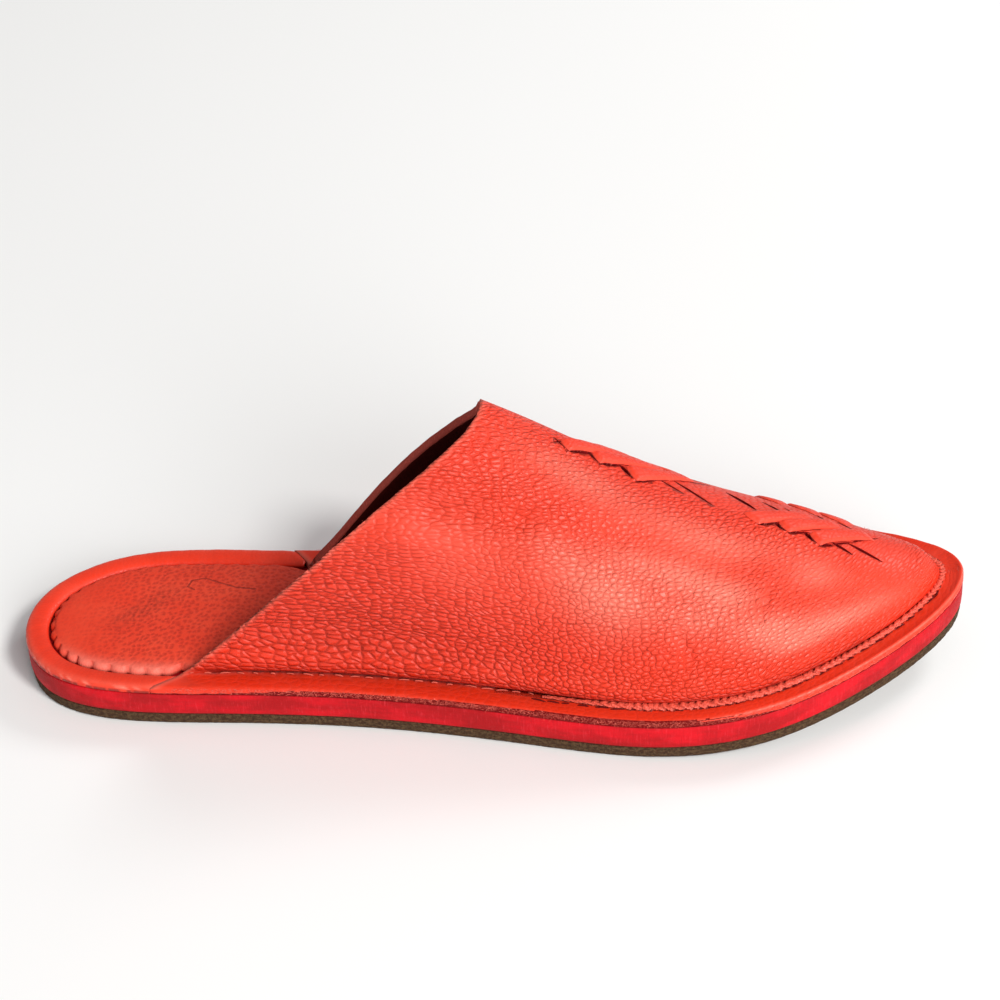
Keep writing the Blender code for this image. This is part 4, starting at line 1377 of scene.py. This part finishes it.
class MULE_OT_insole(bpy.types.Operator):
    """Build the padded insole with its scalloped edge."""

    bl_idname = "mule.insole"
    bl_label = "Insole"

    def execute(self, context):
        look = context.scene.mule_sole

        def cusp(turns):
            """1 where two arcs of the edge meet and 0 in the middle of an arc."""
            place = arc(turns)
            bow = np.abs(np.sin(math.pi * place / look.scallop + waves(place / MM, (37.0, 61.0), 2) * 0.6))
            return 1 - bow ** 0.6

        def scallop(turns, amount):
            share = (1 - np.cos(turns)) / 2
            fade = 1 - ease((share - 0.30) / 0.10)
            return amount * look.scallop_depth * fade * cusp(turns)

        def level(inset, height, amount):
            """A ring: its inset and height in millimetres, and how much of the arcs it has."""
            return (
                lambda turns: insole_inset(turns) + inset * MM + scallop(turns, amount),
                lambda turns: LEATHER_BASE + height * MM - 0.3 * scallop(turns, 1.0) * (1.5 < height < 2.3),
            )

        rings = [
            level(0.15, 0.0, 1.0),
            level(0.20, 1.00, 1.2),
            level(0.32, 1.60, 1.4),
            level(0.55, 2.02, 1.5),
            level(0.90, 2.28, 1.2),
            level(1.35, 2.43, 0.5),
            level(1.90, 2.50, 0.0),
        ]

        def swell(x, share, along):
            dome = math.sin(math.pi * along) ** 0.5 * (1 - (2 * share - 1) ** 2)
            heel_seat = bell((x / SOLE_LENGTH - 0.13) / 0.075) * np.sin(math.pi * share) ** 2
            return INSOLE_CROWN * dome - 0.75 * MM * heel_seat

        def maps(points):
            share = points[:, 0] / SOLE_LENGTH
            lateral, medial = OUTER.foot(np.clip(points[:, 0], 7 * MM, None))
            # Painted highlights: along the near edge, where it rounds down, and on the arcs of the far
            # edge.
            near_edge = bell((points[:, 1] - lateral) / (3.2 * MM))
            worn = near_edge * ease((share - 0.03) / 0.04) * (1 - ease((share - 0.20) / 0.05))
            turns = 2 * math.pi - np.interp(points[:, 0], OUTER.medial[0], TURNS)
            rim = medial - points[:, 1] - 0.75 * MM - cusp(turns) * look.scallop_depth
            rim = bell(rim / (0.50 * MM)) * 0.9
            rim *= ease((share - 0.10) / 0.03) * (1 - ease((share - 0.30) / 0.03))
            shadow = bell((points[:, 1] - medial) / (9 * MM)) * ease((share - 0.10) / 0.1)
            return {"worn": np.maximum(worn, rim), "shadow": shadow}

        piece = layered(
            "insole_pad", 300, 56, rings, self.finish(look), swell, maps, in_plan=True
        )
        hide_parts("insole")
        return {"FINISHED"}

    def finish(self, look):
        """Smooth leather full of small pits, with a dirty smudge, and painted highlights along its near
        edge and on the arcs of its far edge.
        """
        finish = Finish("insole_leather", Specular_IOR_Level=0.28)
        place = finish.place()
        waver = finish.noise(place, 0.35, 2.0, 0.5, output=1)
        warped = finish.shifted(place, waver, 1.4)
        pit = finish.cells(warped, 0.60, "F1", 0.90)
        clump = finish.noise(place, 0.9, 2.0, 0.6)
        worn = finish.attribute("worn")
        hollow = (1.0 - (pit + clump * 0.55).ramp(0.30, 0.92)) * (1.0 - worn * 0.7)
        web = finish.cells(warped, 0.62, "DISTANCE_TO_EDGE", 1.0).ramp(0.0, 0.12)
        pores = finish.noise(place, 2.2, 4.0, 0.7)
        patch = finish.noise(place, 0.06, 3.0, 0.6)
        along = finish.add("SeparateXYZ", {}, {"Vector": place}, "X")
        across = Signal(finish, along.socket.node.outputs["Y"]) - HIDE_SHIFT
        hollow = hollow * along.ramp(12.0, 36.0, 0.25, 1.0)
        # The smudge runs slantwise over the middle of the heel.
        x, y, width, length = SMUDGE
        lean = (along - x) * 0.72 - (across - y) * 0.70
        run = (along - x) * 0.70 + (across - y) * 0.72
        smudge = 1.0 - (lean / width).size().ramp(0.0, 1.0)
        smudge = smudge * (1.0 - (run / length).size().ramp(0.35, 1.0))
        smudge = smudge * finish.noise(place, 0.55, 4.0, 0.75).ramp(0.38, 0.62)
        crease = None
        for x0, y0, x1, y1 in INSOLE_CREASES:
            size = (x1 - x0) ** 2 + (y1 - y0) ** 2
            from_x, from_y = along - x0, across - y0
            reach = ((from_x * (x1 - x0) + from_y * (y1 - y0)) / size).most(0.0).least(1.0)
            off_x, off_y = from_x - reach * (x1 - x0), from_y - reach * (y1 - y0)
            mark = 1.0 - (off_x * off_x + off_y * off_y).ramp(0.01, 0.16)
            crease = mark if crease is None else crease.most(mark)
        colour = finish.tinted(
            look.insole,
            (patch.ramp(0.35, 0.7), look.insole_light),
            (finish.attribute("shadow") * 0.26, look.insole_shadow),
            (hollow * (0.46 - worn * 0.3), look.insole_pit),
            # Painted highlights along the edges.
            ((worn * (0.45 + pores * 0.7)).least(1.0), look.insole_highlight),
            (smudge * 0.42, look.insole_smudge),
            (crease * 0.55, look.insole_crease),
        )
        height = (1.0 - hollow) * 0.7 + web * 0.15 + pores * 0.2 - crease
        return finish.end(colour, 0.46 + hollow * 0.2 + pores * 0.1, finish.bump(height, 0.18 * MM))


class MULE_OT_rand(bpy.types.Operator):
    """Roll the leather strip round the heel."""

    bl_idname = "mule.rand"
    bl_label = "Heel strip"

    def execute(self, context):
        roll = (
            # share of the rim from the sole's edge, share of the thickness
            (0.05, 0.00), (0.00, 0.06), (-0.01, 0.16), (0.00, 0.32), (0.00, 0.50), (0.01, 0.64),
            (0.04, 0.77), (0.09, 0.88), (0.16, 0.95), (0.25, 0.99), (0.36, 1.00), (0.48, 0.99),
            (0.60, 0.96), (0.71, 0.91), (0.80, 0.84), (0.88, 0.74), (0.94, 0.62), (0.98, 0.46),
            (1.00, 0.28), (1.00, 0.12), (0.97, 0.00),
        )
        clear = 0.20 * MM / SOLE_LENGTH
        root = 1.30 * MM / SOLE_LENGTH
        outer_end = math.acos(1 - 2 * (LATERAL_FLANGE_END - clear))
        inner_end = OUTER.foot_turn(COLLAR[0][1] - clear)
        end_pull = inner_end - OUTER.foot_turn(COLLAR[0][1] - clear - root)
        outer_start = -math.acos(1 - 2 * (MEDIAL_FLANGE_END - clear))
        inner_start = OUTER.foot_turn(COLLAR[-1][1] - clear, medial=True) - 2 * math.pi
        root_start = OUTER.foot_turn(COLLAR[-1][1] - clear - root, medial=True) - 2 * math.pi
        start_pull = inner_start - root_start
        rows = 380
        steps = np.arange(rows + 1)
        ends = ease(np.minimum(steps, rows - steps) / 3.0)
        lines = []
        places = []
        for k, (across, rise) in enumerate(roll):
            share = float(np.clip(across, 0, 1))
            pulled = ease((share - 0.80) / 0.20)
            start = outer_start + (inner_start - outer_start) * share - start_pull * pulled
            end = outer_end + (inner_end - outer_end) * share - end_pull * pulled
            angles = np.linspace(start, end, rows + 1)
            length = arc(angles)
            wobble = waves(length / MM, (9.0, 17.0, 31.0), 6) * 0.09
            dimple = waves(length / MM + across * 3, (4.1, 6.3), 12) * 0.04 * (rise > 0.6)
            x, y = outline(angles, RIM_WIDTH * across + 0.10 * MM * wobble)
            height = LEATHER_BASE + RAND_THICKNESS * rise + (wobble + dimple) * MM * min(rise, 0.9)
            lines.append(spots(x, y, floor_line(x) + height - 0.28 * MM * (1 - ends) * rise))
            places.append(spots(length, k * 0.42 * MM))
        points, faces, hide = ring_body(lines, places)
        kinds = [GRAIN] * (len(faces) - 2) + [CUT, CUT]
        finish = leather_finish("rand_leather", 0.10 * MM, 0.8, dirt=0.12)
        # The strip's outer edge is scuffed and has a painted highlight along its rolled shoulder, cracks
        # part it from the midsole here and there, and painted shade darkens its inner side down into the
        # groove by the insole.
        around = np.linspace(0, 1, rows + 1)[:, None] * 90.0
        level = np.arange(len(roll))
        scuffs = np.clip(waves(around + 0.4 * level, (1.7, 2.9, 5.3, 9.7), 41) * 2.0, 0, 1)
        worn = bell((level - 7) / 2.0) * 0.30 + bell((level - 5.0) / 1.3) * scuffs * 1.1
        cracks = ease(waves(around * 1.6, (2.1, 3.7, 6.1, 12.0), 43) * 2.0 + 0.8) * 0.85
        shade_and_cracks = np.where(level < 3, 1.0, np.where(level == 3, 0.8, 0.0)) * cracks
        shade_and_cracks = np.maximum(shade_and_cracks, np.where(level > 17, 0.8, 0.0))
        piece = new_piece(
            "heel_rand_roll", points, faces, hide,
            (finish, raw_finish("rand_cut_edge")), kinds,
            {"grain": np.full(len(points), 0.30), "worn": worn, "shade_and_cracks": shade_and_cracks},
        )
        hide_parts("heel_rand")
        return {"FINISHED"}


class MULE_OT_sole(bpy.types.Operator):
    """Build the midsole and the outsole."""

    bl_idname = "mule.sole"
    bl_label = "Sole"

    def execute(self, context):
        look = context.scene.mule_sole

        def ripple(turns, seed, amount):
            """The unevenness of a cut and ground edge."""
            return waves(arc(turns) / MM, (2.3, 4.7, 9.1, 23.0), seed) * amount * MM

        def level(inset, height, seed, amount):
            """A ring: its inset in millimetres, its height, and the seed and depth of its ripple."""
            return (
                lambda turns: inset * MM + ripple(turns, seed, amount),
                lambda turns: height + ripple(turns, seed + 50, amount * 0.6),
            )

        top = MIDSOLE_BASE + MIDSOLE_THICKNESS
        rings = [
            level(0.60, MIDSOLE_BASE, 1, 0.0),
            level(0.18, MIDSOLE_BASE + 0.15 * MM, 1, 0.03),
            level(0.03, MIDSOLE_BASE + 0.60 * MM, 2, 0.05),
            level(0.00, MIDSOLE_BASE + 2.2 * MM, 3, 0.05),
            level(-0.02, MIDSOLE_BASE + 3.8 * MM, 4, 0.05),
            level(0.00, MIDSOLE_BASE + 5.2 * MM, 5, 0.05),
            level(0.05, top - 0.60 * MM, 6, 0.05),
            level(0.22, top - 0.12 * MM, 7, 0.03),
            level(0.60, top, 8, 0.0),
        ]
        midsole = layered("midsole_layer", 420, 8, rings, self.midsole(look))
        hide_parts("midsole")
        rings = [
            level(1.5, 0.0, 11, 0.0),
            level(0.85, 0.12 * MM, 12, 0.08),
            level(0.45, 0.55 * MM, 13, 0.10),
            level(0.34, 1.2 * MM, 14, 0.12),
            level(0.30, 1.9 * MM, 15, 0.12),
            level(0.30, 2.6 * MM, 16, 0.12),
            level(0.34, 3.2 * MM, 17, 0.10),
            level(0.60, 3.6 * MM, 18, 0.0),
        ]
        outsole = layered("outsole_layer", 420, 8, rings, self.outsole(look))
        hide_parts("outsole")
        return {"FINISHED"}

    def midsole(self, look):
        """Dyed sole leather: fine upright streaks, ground dust and darker scuffs."""
        finish = Finish("midsole_crimson", Specular_IOR_Level=0.18)
        place = finish.place()
        streak = finish.noise(finish.stretch(place, (1.9, 0.22, 1.0)), 1.0, 4.0, 0.7)
        speck = finish.noise(place, 3.0, 4.0, 0.8)
        patch = finish.noise(finish.stretch(place, (0.05, 0.16, 1.0)), 1.0, 3.0, 0.6)
        colour = finish.tinted(
            look.midsole_dark,
            (patch.ramp(0.38, 0.70), look.midsole),
            (streak.ramp(0.52, 0.72) * 0.35, look.midsole_dust),
            (streak.ramp(0.30, 0.48, 1.0, 0.0) * 0.35, look.midsole_scuff),
            (speck.ramp(0.58, 0.75) * 0.45, look.midsole_speck),
        )
        height = streak * 0.5 + speck * 0.5
        return finish.end(colour, 0.48 + speck * 0.25, finish.bump(height, 0.22 * MM))

    def outsole(self, look):
        """Rough brown crepe, mottled olive and pale."""
        finish = Finish("outsole_crepe", Specular_IOR_Level=0.25)
        place = finish.place()
        crumb = finish.noise(place, 2.0, 5.0, 0.75)
        lump = finish.noise(finish.stretch(place, (0.7, 1.2, 1.0)), 1.0, 3.0, 0.6)
        colour = finish.tinted(
            look.outsole,
            (lump.ramp(0.38, 0.66), look.outsole_light),
            (crumb.ramp(0.35, 0.5, 1.0, 0.0), look.outsole_pit),
            (crumb.ramp(0.62, 0.74) * 0.6, look.outsole_crumb),
        )
        return finish.end(colour, 0.86 + crumb * 0.1, finish.bump(crumb * 0.6 + lump * 0.4, 0.9 * MM))


class MULE_OT_studio(bpy.types.Operator):
    """Set the floor, the lights and the camera at the photo's angle."""

    bl_idname = "mule.studio"
    bl_label = "Studio"

    def execute(self, context):
        look = context.scene.mule_studio
        scene = context.scene
        mesh = bpy.data.meshes.new("studio_floor")
        half = 6.0
        corners = [(-half, -half, 0), (half, -half, 0), (half, half, 0), (-half, half, 0)]
        mesh.from_pydata(corners, [], [(0, 1, 2, 3)])
        finish = Finish("floor_paper", Base_Color=look.floor, Roughness=0.9, Specular_IOR_Level=0.1)
        mesh.materials.append(finish.material)
        floor = bpy.data.objects.new("studio_floor", mesh)
        scene.collection.objects.link(floor)

        centre = np.array([0.005, -PLAN_CENTRE[1], 0.0])
        # name, kind, power, direction from the shoe, distance, settings
        for name, kind, power, toward, away, settings in (
            ("key_light", "SUN", look.key, (0.60, -0.58, 0.76), 2.0,
             {"angle": look.softness, "color": (1.0, 0.985, 0.95)}),
            ("front_light", "AREA", look.fill, (0.40, -0.82, 0.42), 1.3, {"size": 0.60}),
            ("far_light", "AREA", look.back, (0.60, 0.50, 0.62), 1.3, {"size": 0.40}),
        ):
            data = bpy.data.lights.new(name, kind)
            data.energy = power
            for key, value in settings.items():
                setattr(data, key, value)
            lamp = bpy.data.objects.new(name, data)
            scene.collection.objects.link(lamp)
            lamp.matrix_world = aimed(centre, toward, away)
        world = bpy.data.worlds.new("studio_sky")
        world.use_nodes = True
        sky = world.node_tree.nodes["Background"].inputs
        sky["Color"].default_value = (1.0, 1.0, 1.0, 1.0)
        sky["Strength"].default_value = look.sky
        scene.world = world
        scene.view_settings.view_transform = "Standard"

        # The photo's camera: turned, raised and rolled as measured from the sole's outline.
        turn, rise, roll = (math.radians(value) for value in (3.9, 35.3, -3.3))
        back = np.array([math.sin(turn) * math.cos(rise), -math.cos(turn) * math.cos(rise), math.sin(rise)])
        right = np.array([math.cos(turn), math.sin(turn), 0.0])
        up = np.cross(back, right)
        raised, away = 0.0432, 0.700
        data = bpy.data.cameras.new("photo_camera")
        data.lens = 86.4
        data.sensor_width = 36.0
        data.clip_start = 0.01
        camera = bpy.data.objects.new("photo_camera", data)
        scene.collection.objects.link(camera)
        side = right * math.cos(roll) + up * math.sin(roll)
        top = up * math.cos(roll) - right * math.sin(roll)
        camera.matrix_world = placed(centre + up * raised + back * away, side, top, back)
        scene.camera = camera
        return {"FINISHED"}


def aimed(centre, direction, distance):
    """The place of a light that looks at a centre from a direction."""
    back = np.array(direction) / np.linalg.norm(direction)
    right = np.cross((0, 0, 1), back)
    right /= np.linalg.norm(right)
    return placed(centre + back * distance, right, np.cross(back, right), back)


def placed(origin, right, up, back):
    """A matrix from an origin and three axes."""
    matrix = Matrix.Identity(4)
    for number, axis in enumerate((right, up, back, origin)):
        for row in range(3):
            matrix[row][number] = float(axis[row])
    return matrix


class MULE_PT_panel(bpy.types.Panel):
    """The mule's pieces and settings."""

    bl_idname = "MULE_PT_panel"
    bl_label = "Woven mule"
    bl_space_type = "VIEW_3D"
    bl_region_type = "UI"
    bl_category = "Mule"

    def draw(self, context):
        for name, _ in GROUPS:
            group = getattr(context.scene, name)
            box = self.layout.box()
            for key in group.bl_rna.properties.keys():
                if key not in {"rna_type", "name"}:
                    box.prop(group, key)
        for operator in OPERATORS:
            self.layout.operator(operator.bl_idname)


GROUPS = (
    ("mule_leather", MuleLeather),
    ("mule_stitching", MuleStitching),
    ("mule_sole", MuleSole),
    ("mule_studio", MuleStudio),
)
OPERATORS = (
    MULE_OT_studio,
    MULE_OT_upper,
    MULE_OT_weave,
    MULE_OT_seam,
    MULE_OT_fibres,
    MULE_OT_insole,
    MULE_OT_rand,
    MULE_OT_sole,
)


def register():
    """Registers the settings, the operators and the panel."""
    for key, group in GROUPS:
        bpy.utils.register_class(group)
        setattr(bpy.types.Scene, key, bpy.props.PointerProperty(type=group))
    for operator in OPERATORS:
        bpy.utils.register_class(operator)
    bpy.utils.register_class(MULE_PT_panel)


def unregister():
    """Takes them out again."""
    bpy.utils.unregister_class(MULE_PT_panel)
    for operator in reversed(OPERATORS):
        bpy.utils.unregister_class(operator)
    for key, group in reversed(GROUPS):
        delattr(bpy.types.Scene, key)
        bpy.utils.unregister_class(group)


def main():
    """Builds the whole scene."""
    register()
    bpy.ops.mule.studio()
    bpy.ops.mule.upper()
    bpy.ops.mule.weave()
    bpy.ops.mule.seam()
    bpy.ops.mule.fibres()
    bpy.ops.mule.insole()
    bpy.ops.mule.rand()
    bpy.ops.mule.sole()


if __name__ == "__main__":
    main()
